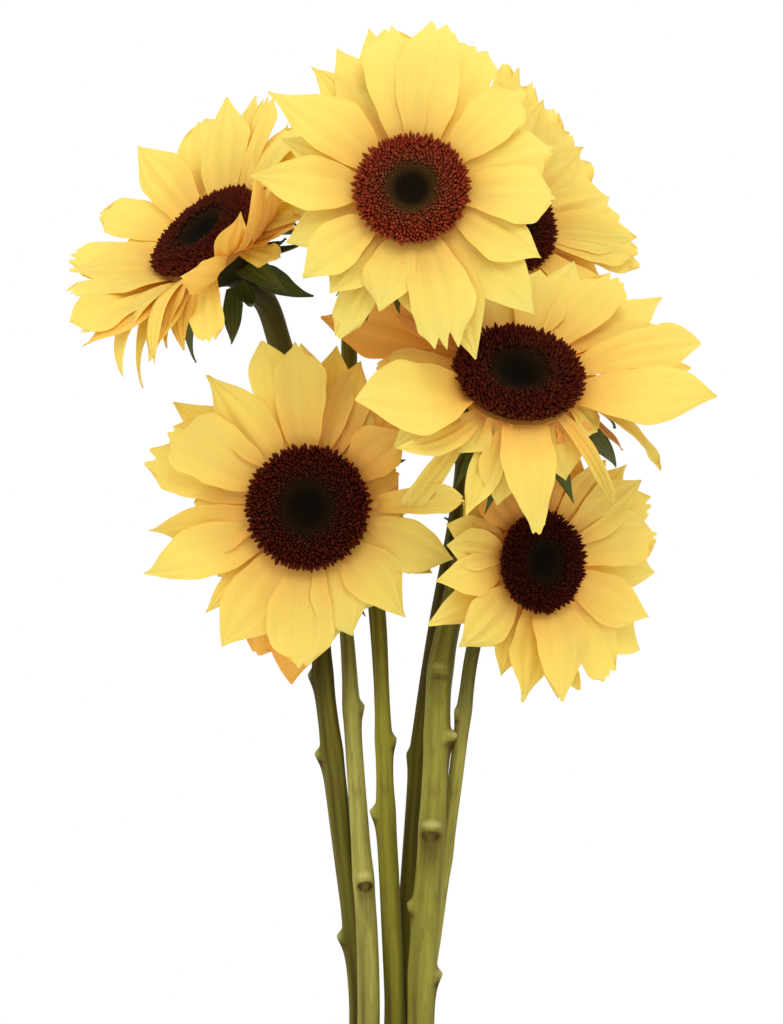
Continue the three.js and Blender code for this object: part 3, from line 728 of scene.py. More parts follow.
# A blade's upper face in its head's frame. Across it lies an arc of the cup angle, which opens along the blade,
# with low folds beside the middle and waves that grow towards the sides and the tip. The whole turns about
# the midrib by the twist, and the end is cut into its tip's points. Returns a grid of points, stations by
# columns, and its map.
def bladeGrid(blade, form, tip):
    share, angle, out, up = midrib(blade, form["stations"])
    across = np.linspace(-1, 1, form["columns"])[None, :]
    along = share[:, None]
    closing = np.clip((along - tip["widest"]) / (1 - tip["widest"]), 0, 1)
    opening = np.sin(np.pi / 2 * np.clip(along / tip["widest"], 0, 1))
    half = blade["width"] / 2 * (blade["narrow"] + (1 - blade["narrow"]) * opening)
    drawnOut = 1 - closing**2 * (3 - 2 * closing)
    narrowed = (1 - tip["cusp"]) * (1 - closing ** tip["power"]) + tip["cusp"] * drawnOut
    half = half * (tip["end"] + (1 - tip["end"]) * narrowed)
    lobePhase = np.cos(np.pi * tip["lobes"] * across) * (-1) ** tip["lobes"]
    back = tip["notch"] * (1 + lobePhase) / 2 + tip["rounded"] * across**2
    (nicks, nickWaves), (slow, slowWaves), (quick, quickWaves) = ripples.values()
    back = back + nicks * np.sin(across * nickWaves + blade["phase"]) * (tip["end"] > 0.1)
    place = along * (1 - back * along**4)
    uneven = slow * np.sin(slowWaves * along + 2 * np.sign(across) + blade["phase"])
    uneven = uneven + quick * np.sin(quickWaves * along + 3 * blade["phase"])
    half = half * (1 + form["ragged"] * uneven * np.abs(across) + blade["skew"] * across * np.sin(np.pi * along))
    cup = np.radians(blade["cup"] + (blade["cupEnd"] - blade["cup"]) * along)
    cup = np.where(np.abs(cup) < 1e-3, 1e-3, cup)
    sideways = half * np.sin(cup * across) / cup
    lift = half * (1 - np.cos(cup * across)) / cup
    lift = lift + blade["fold"] * np.cos(3 * np.pi * across) * np.sin(np.pi * along) * (1 - across**2)
    wave = np.sin(2 * np.pi * blade["waves"] * along + blade["phase"] + 1.3 * np.sign(across))
    lift = lift + blade["wave"] * wave * np.abs(across) ** 2 * along**0.7
    lift = lift + blade["sag"] * np.sin(2 * np.pi * along * 1.2 + blade["phase"] * 2) * along
    turn = np.radians(blade["twist"]) * along
    cosine, sine = np.cos(turn), np.sin(turn)
    sideways, lift = sideways * cosine - lift * sine, sideways * sine + lift * cosine
    tilt = np.interp(place, share, angle)
    away = blade["root"][0] + np.interp(place, share, out) - lift * np.sin(tilt)
    height = blade["root"][1] + np.interp(place, share, up) + lift * np.cos(tilt)
    sway = blade["length"] * blade["bend"] * place**2 + sideways
    cosine, sine = np.cos(blade["azimuth"]), np.sin(blade["azimuth"])
    points = np.stack([away * cosine - sway * sine, away * sine + sway * cosine, height], -1)
    uv = np.stack(np.broadcast_arrays((across + 1) / 2, place), -1)
    return points, uv


# A blade as a closed thin sheet: its lower face lies under the upper by the thickness, less towards its edge.
def bladePatch(flower, blade, form, tip, **values):
    top, uv = bladeGrid(blade, form, tip)
    normal = unit(np.cross(np.gradient(top, axis=0), np.gradient(top, axis=1)))
    normal = normal * -np.sign(normal[form["stations"] // 4, form["columns"] // 2] @ np.array([0, 0, 1]) or 1)
    beforeTip = np.clip(4 * (1 - np.linspace(0, 1, form["stations"])), 0, 1)[:, None, None]
    inside = (1 - (2 * uv[..., :1] - 1) ** 2) * beforeTip
    depth = form["thickness"] * (form["edge"] + (1 - form["edge"]) * inside)
    return slab(toWorld(flower, top), toWorld(flower, top + normal * depth), uv, **values)


# The degrees from an azimuth to the nearest of the blades that show.
def clearance(shown, azimuth):
    return np.degrees(np.abs((shown - azimuth + np.pi) % (2 * np.pi) - np.pi)).min(initial=180)


# The rays of a head: those that show, aimed at their tips, and the frame's own where none of them stands.
def raysOf(name, flower):
    draw = np.random.default_rng(flower["seed"])
    rootRadius = flower["discRadius"] - rayForm["rootIn"]
    roots = [(rootRadius, -rayForm["rootDown"] - row * rayForm["rowDown"]) for row in range(3)]
    rays = []
    for x, y, width, row, tip, *own in shownRays[name]:
        held = own[0] if own else {}
        ray = {**drawn(rayVaries, draw), "narrow": rayForm["claw"]}
        ray.update({key: value for key, value in held.items() if key in ray})
        ray["riseMore"] -= row * rayForm["rowRise"]
        ray.update(tip=tip, width=width * rayForm["wider"], root=roots[row])
        rays.append(aimBlade(flower, ray, (x, y), held))
    shown = np.array([ray["azimuth"] for ray in rays])
    number = numbersFrom(flower["seed"])
    for row in (0, 1):
        for place in range(rayForm["perRow"]):
            jitter = jittered(number, rayForm["jitter"])
            azimuth = np.radians((place + row / 2 + jitter["place"]) * 360 / rayForm["perRow"] + flower["turn"])
            ray = {**drawn(rayVaries, draw), "narrow": rayForm["claw"]}
            apart = clearance(shown, azimuth)
            if apart < rayForm["clearOf"]:
                continue
            crowded = apart < rayForm["crowdedBy"]
            behind = row + int(crowded)
            longer = 1 + flower["longer"][0] * np.cos(azimuth - np.radians(flower["longer"][1]))
            length = (flower["reach"] - rootRadius) * longer * (1 + jitter["length"])
            ray.update(
                azimuth=azimuth, root=roots[behind], length=length * (flower["fillLength"] if crowded else 1),
                width=flower["width"] * rayForm["wider"] * (1 + jitter["width"]),
                rise=heldAt(flower, "rise", azimuth) - behind * rayForm["rowRise"] + jitter["rise"],
                droop=heldAt(flower, "droop", azimuth) * (1 + jitter["droop"]),
                tip=rayForm["tips"][int(draw.integers(4))],
            )
            rays.append(ray)
    return rays


def makeRays(name, flower, material):
    rays = raysOf(name, flower)
    outer = flower["discRadius"] - rayForm["ringIn"]
    inner, top = outer - rayForm["ringWidth"], -seatGap
    bottom = top - rayForm["ringDepth"]
    profile = [(inner, bottom), (outer, bottom), (outer, top), (inner, top)]
    # painted shade: the ring takes the orange of a shaded root
    ring = turned(profile, rayForm["ringSides"], loop=True, under=0.0, tone=rayForm["ringShade"])
    ring["points"] = toWorld(flower, ring["points"])
    ring["uv"] = ring["uv"] * 0
    blades = [
        bladePatch(flower, ray, rayForm, tipForms[ray["tip"]], tone=flower["tone"] + ray["tone"]) for ray in rays
    ]
    print(f"{name}: {len(rays)} rays")
    makePiece("petals_" + name, joined([ring, *blades]), material, "rays", "rays_" + name)


# lemon, gold, amber and the deepest: colours from root to tip, one for each whole number of the tone. amber is
# partly painted shade, and the deepest is a brown painted shade. vein, blotch, back: a colour that lies over them,
# and its strength; back, on the lower face, is partly painted shade.
rayLook = {
    "lemon": ((0.0, (237, 190, 84)), (0.16, (242, 214, 104)), (0.45, (243, 237, 120)), (1.0, (241, 245, 138))),
    "gold": ((0.0, (233, 172, 72)), (0.16, (240, 200, 94)), (0.45, (243, 225, 110)), (1.0, (243, 238, 126))),
    "amber": ((0.0, (224, 144, 60)), (0.14, (232, 160, 70)), (0.45, (240, 178, 82)), (1.0, (244, 192, 92))),
    "deepShade": ((0.0, (150, 96, 60)), (1.0, (150, 96, 60))),
    "vein": ((224, 170, 66), 0.16), "veins": (26.0, 1.2),  # how many across a ray and along it
    # back: an oranger wash of the lower face, partly painted shade on undersides turned from the light
    "blotch": ((246, 240, 140), 0.14), "blotchScale": 70.0, "back": ((246, 214, 110), 0.75),
    "through": (255, 210, 104), "glow": 0.48,  # the light that comes through a ray, and its share
}


# Yellow that deepens to orange at the root, with fine veins that run along the ray and faint blotches. A higher
# tone turns it orange and brown, partly painted shade, and the lower face is washed a little oranger, partly
# painted shade.
def rayFinish():
    material, tree, shader = newFinish("rayFinish")
    across, along = ownMap(tree)
    tone = ownValue(tree, "tone")
    colour = ramped(tree, along, rayLook["lemon"])
    # painted shade: the amber and brown ramps stand partly for rays that lie in the shade of others
    for step, kind in enumerate(("gold", "amber", "deepShade")):
        redder = ramped(tree, along, rayLook[kind])
        colour = blended(tree, spread(tree, tone, step, step + 1), colour, redder)
    lengthways = (times(tree, *pair) for pair in zip((across, along), rayLook["veins"]))
    veins = speckle(tree, joinedVector(tree, *lengthways, tone), 1.0, detail=3.0)
    colour = washed(tree, colour, veins, *rayLook["vein"])
    colour = washed(tree, colour, speckle(tree, ownPlace(tree), rayLook["blotchScale"]), *rayLook["blotch"])
    # the lower face, partly painted shade
    colour = washed(tree, colour, ownValue(tree, "under"), *rayLook["back"])
    coat(tree, shader, colour, Roughness=0.62, Specular_IOR_Level=0.25)
    bumped(tree, shader, veins, 0.35, 0.25)
    through = addNode(tree, "BsdfTranslucent", Color=blended(tree, 0.5, colour, srgb(*rayLook["through"])))
    both = mixedShaders(tree, rayLook["glow"], shader, through)
    tree.links.new(both, tree.nodes["Material Output"].inputs["Surface"])
    return material


# Pairs are a value in the middle of the disc and what is added at its edge, where nothing else is said.
discForm = {
    "florets": 1100, "golden": 137.508,  # how many, and the degrees between one and the next
    "spread": 0.94,  # share of the radius that they reach
    "openFrom": 0.44,  # share of the radius where the closed buds of the middle give way to open florets
    "face": 4.6, "wreath": (2.2, 1.05, 1.5),  # mm; the wreath's height, how far inside it ends and how steep it is
    "hollow": (2.0, 0.3),  # its depth in mm, and its width as a share
    "sunk": 1.0, "lean": (8, 56), "size": (0.8, 0.3), "budSize": (0.55, 0.6),  # mm into the face, degrees, factors
    "sizedFor": 26,  # mm: the radius of a disc whose florets have just these sizes
    "uneven": {"turn": 0.012, "lean": 0.1, "axis": 0.07, "size": (0.75, 1.25), "opening": 0.03},
    # sections up a floret, as shares of its radius and height: radius, height, how far every other corner is in
    "open": {"radius": 0.66, "height": 2.4, "corners": 8, "sections": (
        (0.8, 0, 0), (0.9, 0.4, 0), (1.15, 0.7, 0.3), (0.62, 0.74, 0), (0.5, 0.94, 0), (0.16, 1.08, 0))},
    "bud": {"radius": 0.62, "height": 1.0, "corners": 6, "sections": (
        (0.8, 0, 0), (1, 0.45, 0), (0.8, 0.85, 0), (0.3, 1.3, 0))},
    "dent": 0.6,  # of a floret's top, as a share of its last radius
    "aside": (0.31, 0.95, 0.05),  # a direction that no floret points in
    # the pad: its foot in mm inside the disc's radius, (share of the radius, height) of its side, mm under the face
    "foot": 4.5, "flank": (0.93, 2.8), "shoulder": (0.92, 3.4), "under": 0.6, "stations": 14, "sides": 48,
}


# Height of the disc's face, as in the frame: a raised wreath of open florets round a sunken middle of buds.
def discHeight(share):
    (depth, width), (high, inside, steep) = discForm["hollow"], discForm["wreath"]
    wreath = high * np.sin(np.pi * np.clip(share * inside, 0, 1)) ** steep
    return discForm["face"] + wreath - depth * bell(share, width)


# Copies of a small closed form of revolution, one at each place along its own axis, as one patch. height runs
# from 0 at its foot to 1 at its top.
def florets(kind, places, axes, sizes, **values):
    corners = kind["corners"]
    angle = np.arange(corners) * 2 * np.pi / corners
    radius, height, lobing = (np.array(column)[:, None] for column in zip(*kind["sections"]))
    radius, height = radius * kind["radius"], height * kind["height"]
    rim = radius * (1 - lobing * (np.arange(corners) % 2))
    rings = np.stack([rim * np.cos(angle), rim * np.sin(angle), height + 0 * angle], -1)
    ends = [[0, 0, height[0, 0]], [0, 0, height[-1, 0] - radius[-1, 0] * discForm["dent"]]]
    form = np.concatenate([rings.reshape(-1, 3), ends])
    level = unit(np.cross(axes, discForm["aside"]))
    stands = np.stack([level, np.cross(axes, level), axes], 1)
    points = np.einsum("kj,njl->nkl", form, stands) * sizes[:, None, None] + places[:, None]
    one = tube(rings, np.zeros((*rings.shape[:2], 2)))
    starts = (np.arange(len(places)) * len(form))[:, None, None]
    up = np.clip(form[:, 2] / height.max(), 0, 1)
    return patch(
        points, one["quads"] + starts, one["tris"] + starts, height=np.tile(up, len(places)),
        **{name: np.repeat(value, len(form)) for name, value in values.items()},
    )


# The florets lie on a spiral of equal angles, with radii as the square root of their number. The outer ones are
# open tubes with five lobes and lean outward; the inner ones are closed buds. They stand on a pad.
def makeDisc(name, flower, material):
    radius = flower["discRadius"]
    draw = np.random.default_rng(flower["seed"] + 500)
    uneven = discForm["uneven"]
    number = np.arange(discForm["florets"])
    share = np.sqrt((number + 0.5) / len(number)) * discForm["spread"]
    angle = np.radians(number * discForm["golden"]) + draw.normal(0, uneven["turn"], len(number))
    away = np.stack([np.cos(angle), np.sin(angle)], -1)
    lift = discHeight(share) - discForm["sunk"]
    places = np.concatenate([away * share[:, None] * radius, lift[:, None]], -1)
    upright, more = discForm["lean"]
    lean = np.radians(upright + more * share**4) + draw.normal(0, uneven["lean"], len(number))
    axes = np.concatenate([away * np.sin(lean)[:, None], np.cos(lean)[:, None]], -1)
    axes = unit(axes + draw.normal(0, uneven["axis"], axes.shape))
    small, more = discForm["size"]
    sizes = radius / discForm["sizedFor"] * (small + more * share) * draw.uniform(*uneven["size"], len(number))
    shade = draw.uniform(0, 1, len(number))
    opened = share + draw.normal(0, uneven["opening"], len(number)) > discForm["openFrom"]
    small, more = discForm["budSize"]
    kinds = (("open", opened, sizes), ("bud", ~opened, sizes * (small + more * share)))
    (flankIn, flankUp), (rim, rimUp) = discForm["flank"], discForm["shoulder"]
    profile = [(0, 0), (radius - discForm["foot"], 0), (radius * flankIn, flankUp), (radius * rim, rimUp)]
    steps = np.linspace(0, 1, discForm["stations"])[::-1]
    profile += [(radius * rim * step, discHeight(step * rim) - discForm["under"]) for step in steps[1:]]
    whole = joined([turned(profile, discForm["sides"], height=0.0, shade=0.3)] + [
        florets(discForm[kind], places[these], axes[these], size[these], shade=shade[these])
        for kind, these, size in kinds
    ])
    whole["share"] = np.hypot(*whole["points"][:, :2].T) / radius
    whole["ring"] = np.full(len(whole["points"]), flower["ring"])
    whole["points"] = toWorld(flower, whole["points"])
    makePiece("florets_" + name, whole, material, "disc", "disc_" + name, sharpFrom=60)


# dark and red: the colours from the disc's middle to its edge on a dark head and on the red-brown one, and tips
# those of the florets' tips on each; between: what lies low between the florets.
discLook = {
    "dark": ((0.0, (8, 6, 2)), (0.32, (18, 11, 5)), (0.5, (26, 5, 2)), (0.85, (36, 6, 3)), (1.0, (52, 12, 5))),
    "red": ((0.0, (22, 18, 6)), (0.24, (30, 24, 8)), (0.4, (84, 56, 24)), (0.55, (112, 46, 25)),
            (0.85, (122, 40, 21)), (1.0, (128, 54, 20))),
    "tips": ((50, 11, 6), (176, 92, 64)), "between": (10, 4, 2),
    # ranges of a value, and the shares that it is stretched to: where the florets are low, and where their tips
    # show, by the share of the radius, the height and the shade
    "low": (0.1, 0.6, 0.65, 0.0), "lit": ((0.3, 0.55), (0.75, 1.0), (0.4, 1.0, 0.0, 0.8)),
}


# From green-black in the middle through maroon to the edge, with the florets' tips paler and each its own shade.
def discFinish():
    material, tree, shader = newFinish("discFinish")
    share, height, shade, red = (ownValue(tree, name) for name in ("share", "height", "shade", "ring"))
    colour = blended(tree, red, *(ramped(tree, share, discLook[kind]) for kind in ("dark", "red")))
    colour = washed(tree, colour, spread(tree, height, *discLook["low"]), discLook["between"])
    outer, upper, pale = (spread(tree, value, *ends) for value, ends in zip((share, height, shade), discLook["lit"]))
    lit = times(tree, times(tree, outer, upper), pale)
    colour = blended(tree, lit, colour, blended(tree, red, *(srgb(*tip) for tip in discLook["tips"])))
    coat(tree, shader, colour, Roughness=0.75, Specular_IOR_Level=0.03)
    bumped(tree, shader, speckle(tree, ownPlace(tree), 1400.0), 0.4, 0.2)
    return material


stemForm = {
    "stations": 420, "corners": 26, "intoCup": 8, "headDepth": 27,
    "floorAt": 9.7, "cutSlant": 0.35,  # of the cut ends: height, and slope
    "ribs": ((8, 3, 9), (5, -4, 6)), "ribDepth": 0.012,  # how many, how far they wander round and how often
    "swell": (0.025, 31), "oval": (0.02, 14),  # depths as shares of the radius, and how often along the stem
    "scarHeight": 2.6, "scarWidth": 0.68, "scarBelow": 4.5, "scarAbove": 1.7,  # mm out of the stem, radians, mm, mm
    "collar": (0.35, 7),  # a low ring at a scar: how high, and how far along the stem
    # colour of a scar, as mm below its top and a width: the pale lip, partly a painted highlight, the torn hollow,
    # partly painted shadow under the lip, and a long weak shade (its strength is the third)
    "lip": (0.2, 2.2), "tornAndShaded": (3.8, 1.7), "shade": (4, 16, 0.55),
    # painted shade: the stem is darkened below its head as if in the head's shadow
    "headShadeFor": 90, "headShadeBy": 0.7,  # mm below the head that stay dark, and how late that fades
    "mapped": 100,  # mm of stem to one unit of its map
}


# A centripetal Catmull-Rom curve through points, at even distances along it. Every span blends straight lines
# between its four points, with knots apart by the square root of the points' distances.
def smoothPath(points, stations, perSpan=60):
    points = np.asarray(points, float)
    points = np.concatenate([[2 * points[0] - points[1]], points, [2 * points[-1] - points[-2]]])
    dense = []
    for p0, p1, p2, p3 in zip(points, points[1:], points[2:], points[3:]):
        knots = np.cumsum([0, *(np.linalg.norm(b - a) ** 0.5 for a, b in ((p0, p1), (p1, p2), (p2, p3)))])
        t = np.linspace(knots[1], knots[2], perSpan, endpoint=False)[:, None]

        def between(a, b, start, end):
            return (a * (end - t) + b * (t - start)) / (end - start)

        k0, k1, k2, k3 = knots
        a1, a2, a3 = between(p0, p1, k0, k1), between(p1, p2, k1, k2), between(p2, p3, k2, k3)
        dense.append(between(between(a1, a2, k0, k2), between(a2, a3, k1, k3), k1, k2))
    dense = np.concatenate([*dense, points[-2:-1]])
    travel = np.concatenate([[0], np.cumsum(np.linalg.norm(np.diff(dense, axis=0), axis=1))])
    even = np.linspace(0, travel[-1], stations)
    return np.stack([np.interp(even, travel, dense[:, axis]) for axis in range(3)], -1), travel[-1]


def stemPath(flower, stations):
    foot, *upper = flower["stem"]
    ends = [toWorld(flower, (0, 0, -stemForm["headDepth"] + into)) for into in (0, stemForm["intoCup"])]
    return smoothPath([(*foot, stemForm["floorAt"]), *upper, *ends], stations)


# The stem is a bar along its path whose radius runs evenly from its cut end to its neck, times its girth, with low
# ribs, slow swells and its leaf scars. A scar is a bump that grows slowly from below, drops quickly above its
# lip and spans a narrow angle; the value scar is 1 on its lip, partly a painted highlight, and -1 in the torn
# hollow below it, partly painted shadow under the lip.
def stemPatch(flower):
    centres, length = stemPath(flower, stemForm["stations"])
    along = unit(np.gradient(centres, axis=0))
    across = unit(np.cross(np.cross(along, (1.0, 0.0, 0.0)), along))
    other = np.cross(along, across)
    share = np.linspace(0, 1, stemForm["stations"])[:, None]
    angle = np.arange(stemForm["corners"]) * 2 * np.pi / stemForm["corners"]
    low, high = flower["stemRadius"]
    radius = low + (high - low) * share + 0 * angle
    if "girth" in flower:
        radius = radius * np.interp(centres[:, 2:], *zip(*flower["girth"]))
    ribs = sum(np.cos(count * angle + wander * np.sin(share * often)) for count, wander, often in stemForm["ribs"])
    radius = radius * (1 + stemForm["ribDepth"] * ribs)
    (swell, swells), (oval, ovals) = stemForm["swell"], stemForm["oval"]
    swell, oval = swell * np.sin(share * swells + flower["seed"]), oval * np.sin(angle * 2 + share * ovals)
    radius = radius * (1 + swell + oval)
    collar, collarReach = stemForm["collar"]
    (lipAt, lipWidth), (tornAt, tornWidth) = stemForm["lip"], stemForm["tornAndShaded"]
    shadeAt, shadeWidth, shade = stemForm["shade"]
    scar = 0 * radius
    for height, facing, size in flower["scars"]:
        place = int(np.argmin(np.abs(centres[:, 2] - height)))
        facing = np.radians(facing)
        towards = np.array([np.cos(facing), np.sin(facing), 0])
        turn = angle - np.arctan2(other[place] @ towards, across[place] @ towards)
        narrow = bell((turn + np.pi) % (2 * np.pi) - np.pi, stemForm["scarWidth"])
        above = (share - share[place]) * length
        lip = np.where(above < 0, 1 / (1 + (above / stemForm["scarBelow"]) ** 2), bell(above, stemForm["scarAbove"]))
        radius = radius + size * stemForm["scarHeight"] * lip * narrow
        radius = radius + collar * bell(above, collarReach)
        # the torn hollow and the long shade under a scar's lip: partly painted shadow
        tornAndShaded = bell(above + tornAt, tornWidth) + shade * bell(above + shadeAt, shadeWidth) * (above < -shadeAt)
        scar = scar + size * narrow * (bell(above + lipAt, lipWidth) - tornAndShaded)
    direction = across[:, None] * np.cos(angle)[:, None] + other[:, None] * np.sin(angle)[:, None]
    rings = centres[:, None] + direction * radius[..., None]
    rings[0] += along[0] * ((np.cos(angle) + 1) * low * stemForm["cutSlant"])[:, None]
    uv = np.stack(np.broadcast_arrays(angle / (2 * np.pi), share * length / stemForm["mapped"]), -1)
    # painted shade under the head: 1 at the neck, fading down the stem
    fromHead = np.clip((1 - share) * length / stemForm["headShadeFor"], 0, 1)
    bark = np.interp(centres[:, 2:], *zip(*flower["bark"]))
    return tube(rings, uv, scar=scar, bark=bark, grey=flower["grey"], young=(1 - fromHead) ** stemForm["headShadeBy"])


cupForm = {
    "sides": 44, "bark": 0.3,
    # heights with shares of the neck's radius, with shares of the disc's, and with mm inside the disc's
    "neck": ((1, -28), (1.22, -24.5), (1.55, -21)), "bowl": ((0.42, -17.6), (0.6, -14.5), (0.72, -11.6)),
    "rim": ((6, -9), (4.9, -6.6)), "top": 4.5,
    "core": 0.5,  # mm more than the petals' ring and its gap: the middle inside the ring, up to the disc
}


# The cup behind the head, in the frame's own outline rounded off.
def cupPatch(flower):
    radius, neck = flower["discRadius"], flower["stemRadius"][1]
    top = -rayForm["ringDepth"] - 2 * seatGap
    core = radius - cupForm["core"] - rayForm["ringWidth"] - seatGap
    profile = [
        (0, cupForm["neck"][0][1]), *((neck * share, height) for share, height in cupForm["neck"]),
        *((radius * share, height) for share, height in cupForm["bowl"]),
        *((radius - inside, height) for inside, height in cupForm["rim"]),
        (radius - cupForm["top"], top), (core, top), (core, -seatGap), (0, -seatGap),
    ]
    # the cup behind the head takes the whole painted shade
    made = turned(profile, cupForm["sides"], scar=0.0, bark=cupForm["bark"], grey=0.0, young=1.0)
    made["points"] = toWorld(flower, made["points"])
    made["uv"][:, 1] = made["uv"][:, 1] / stemForm["mapped"]
    return made


bractForm = {
    "columns": 9, "stations": 18, "thickness": 0.8, "edge": 0.35, "ragged": 0.03,
    "perHead": 11, "clearOf": 16, "width": 12.5, "reach": 0.45, "behind": 16, "droop": 26, "flattest": -8,
    "innerIn": 9, "down": 6.6, "jitter": {"place": 0.3, "length": 0.2, "rise": 8},
    "shown": {"rise": -35, "droop": 10, "longest": 42},  # of those that show, where nothing else is said
    "outer": {"in": 2, "down": 3.4, "lower": 16, "length": 0.8, "droop": 30},  # the outer whorl, from the inner
    "all": {"narrow": 0.55, "fold": 0.2, "skew": 0, "riseMore": 0, "droopMore": 0},
    "tip": tipForm(0.3, 0.02, 1.3, cusp=0.5),
}
bractVaries = {
    "twist": (-20, 20), "bend": (-0.12, 0.12), "curl": (-25, 45), "cup": (25, 45), "cupEnd": (30, 70),
    "wave": (0.2, 0.7), "waves": (1, 2), "phase": (0, 6.28), "sag": (-0.6, 0.6),
}


# The bracts: two whorls of pointed green blades round the cup, the frame's eleven and as many shorter ones
# outside them, and those that show, aimed at their tips.
def bractPatches(name, flower):
    draw = np.random.default_rng(flower["seed"] + 900)
    number = numbersFrom(flower["seed"] + 1000)
    root = (flower["discRadius"] - bractForm["innerIn"], -bractForm["down"])
    outside = bractForm["outer"]
    bracts = []
    for x, y, width, *own in shownBracts.get(name, ()):
        held = {**bractForm["shown"], **(own[0] if own else {})}
        bract = {**drawn(bractVaries, draw), **bractForm["all"], "width": width, "root": root}
        bract.update({key: value for key, value in held.items() if key in bract})
        bracts.append(aimBlade(flower, bract, (x, y), held))
    shown = np.array([bract["azimuth"] for bract in bracts])
    for place in range(bractForm["perHead"]):
        jitter = jittered(number, bractForm["jitter"])
        azimuth = (place + jitter["place"]) * 2 * np.pi / bractForm["perHead"]
        rise = heldAt(flower, "rise", azimuth) - rayForm["rowRise"] - bractForm["behind"]
        inner = {
            "azimuth": azimuth, "root": root, "width": bractForm["width"], "droop": bractForm["droop"],
            "rise": min(rise, bractForm["flattest"]) + jitter["rise"],
            "length": flower["reach"] * bractForm["reach"] * (1 + jitter["length"]),
        }
        outer = {
            **inner, "azimuth": azimuth + np.pi / bractForm["perHead"], "droop": outside["droop"],
            "root": (root[0] - outside["in"], root[1] - outside["down"]),
            "rise": inner["rise"] - outside["lower"], "length": inner["length"] * outside["length"],
        }
        for bract in (inner, outer):
            if clearance(shown, bract["azimuth"]) > bractForm["clearOf"]:
                bracts.append({**drawn(bractVaries, draw), **bractForm["all"], **bract})
    return [bladePatch(flower, bract, bractForm, bractForm["tip"]) for bract in bracts]


def makeGreens(name, flower, stemMaterial, bractMaterial):
    stalk = joined([stemPatch(flower), cupPatch(flower)])
    makePiece("stalk_" + name, stalk, stemMaterial, "green", "stem_" + name)
    makePiece("bracts_" + name, joined(bractPatches(name, flower)), bractMaterial, "green", "stem_" + name)


# The skin's colours, and what lies over it as a colour and its strength. The near-black under the head is painted
# shade, and a scar's pale lip and brown hollow are partly painted highlight and painted shadow.
stemLook = {
    "dark": (64, 60, 10), "light": (146, 143, 41), "grey": (172, 166, 86), "lip": (182, 174, 104),
    "hollow": (62, 42, 12), "streak": (88, 66, 18), "streaks": 0.3, "young": ((18, 15, 2), 0.94),
    # noise by its scale and detail; lengthways: how many units of it lie along one unit of the map
    "lengthways": 0.9, "broad": (1.3, 2.0), "fine": (7.0, 4.0), "patches": (9.0, 5.0),
    "broadShare": 0.6, "darker": 0.2,  # of the lightness: how far the broad noise adds to it, and what is taken off
    # ranges of a value, and the shares that it is stretched to
    "stained": (0.55, 1.1, 0.0, 0.5), "lipUneven": (0.0, 1.0, 0.6, 1.15), "lipAt": (0.2, 1.1, 0.0, 0.75),
    "hollowAt": (-0.1, -0.7), "hollowUneven": (0.1, 0.6, 0.55, 1.0),
}


# Olive with streaks along the stem, made nearly black under the head and on the cup by painted shade, with pale
# lips and brown hollows at the scars, partly painted highlight and painted shadow.
def stemFinish():
    material, tree, shader = newFinish("stemFinish")
    around, along = ownMap(tree)
    turn = times(tree, around, 2 * np.pi)
    circle = (sums(tree, "COSINE", turn), sums(tree, "SINE", turn), times(tree, along, stemLook["lengthways"]))
    circle = joinedVector(tree, *circle)
    broad, fine = (speckle(tree, circle, *stemLook[kind]) for kind in ("broad", "fine"))
    bark, scar = ownValue(tree, "bark"), ownValue(tree, "scar")
    bark = sums(tree, "SUBTRACT", bark, stemLook["darker"])
    light = sums(tree, "ADD", times(tree, broad, stemLook["broadShare"]), bark)
    pale = blended(tree, ownValue(tree, "grey"), srgb(*stemLook["light"]), srgb(*stemLook["grey"]))
    colour = blended(tree, light, srgb(*stemLook["dark"]), pale)
    colour = washed(tree, colour, fine, stemLook["streak"], stemLook["streaks"])
    patches = speckle(tree, joinedVector(tree, around, along), *stemLook["patches"])
    colour = washed(tree, colour, spread(tree, patches, *stemLook["stained"]), stemLook["streak"])
    # painted shade under the head
    colour = washed(tree, colour, ownValue(tree, "young"), *stemLook["young"])
    # partly a painted highlight on the scar's lip
    lip = times(tree, scar, spread(tree, patches, *stemLook["lipUneven"]))
    colour = washed(tree, colour, spread(tree, lip, *stemLook["lipAt"]), stemLook["lip"])
    # partly painted shadow in the hollow under the lip
    tornAndShaded = (spread(tree, scar, *stemLook["hollowAt"]), spread(tree, patches, *stemLook["hollowUneven"]))
    colour = washed(tree, colour, times(tree, *tornAndShaded), stemLook["hollow"])
    coat(tree, shader, colour, Roughness=0.6, Specular_IOR_Level=0.08)
    bumped(tree, shader, fine, 0.35, 0.3)
    return material


bractLook = {
    "along": ((0.0, (74, 80, 22)), (0.9, (62, 72, 18))), "vein": (108, 112, 40), "edge": (38, 44, 12),
    "mottle": ((102, 108, 34), 0.25), "mottles": (160.0, 4.0),  # the noise's scale and detail
    "veins": 4,  # waves across a bract
    # ranges of a value, and the shares that it is stretched to: the height of a vein, and the way to the edge
    "veinAt": (0.8, 1.0, 0.0, 0.45), "edgeAt": (0.38, 0.5, 0.0, 0.6),
}


# Dark green, paler along three veins and darker at the edge.
def bractFinish():
    material, tree, shader = newFinish("bractFinish")
    across, along = ownMap(tree)
    fromMiddle = sums(tree, "SUBTRACT", across, 0.5)
    ribs = sums(tree, "COSINE", times(tree, fromMiddle, 2 * np.pi * bractLook["veins"]))
    colour = ramped(tree, along, bractLook["along"])
    colour = washed(tree, colour, spread(tree, ribs, *bractLook["veinAt"]), bractLook["vein"])
    toEdge = spread(tree, sums(tree, "ABSOLUTE", fromMiddle), *bractLook["edgeAt"])
    colour = washed(tree, colour, toEdge, bractLook["edge"])
    mottle = speckle(tree, ownPlace(tree), *bractLook["mottles"])
    colour = washed(tree, colour, mottle, *bractLook["mottle"])
    coat(tree, shader, colour, Roughness=0.6, Specular_IOR_Level=0.25)
    bumped(tree, shader, sums(tree, "ADD", ribs, mottle), 0.3, 0.3)
    return material


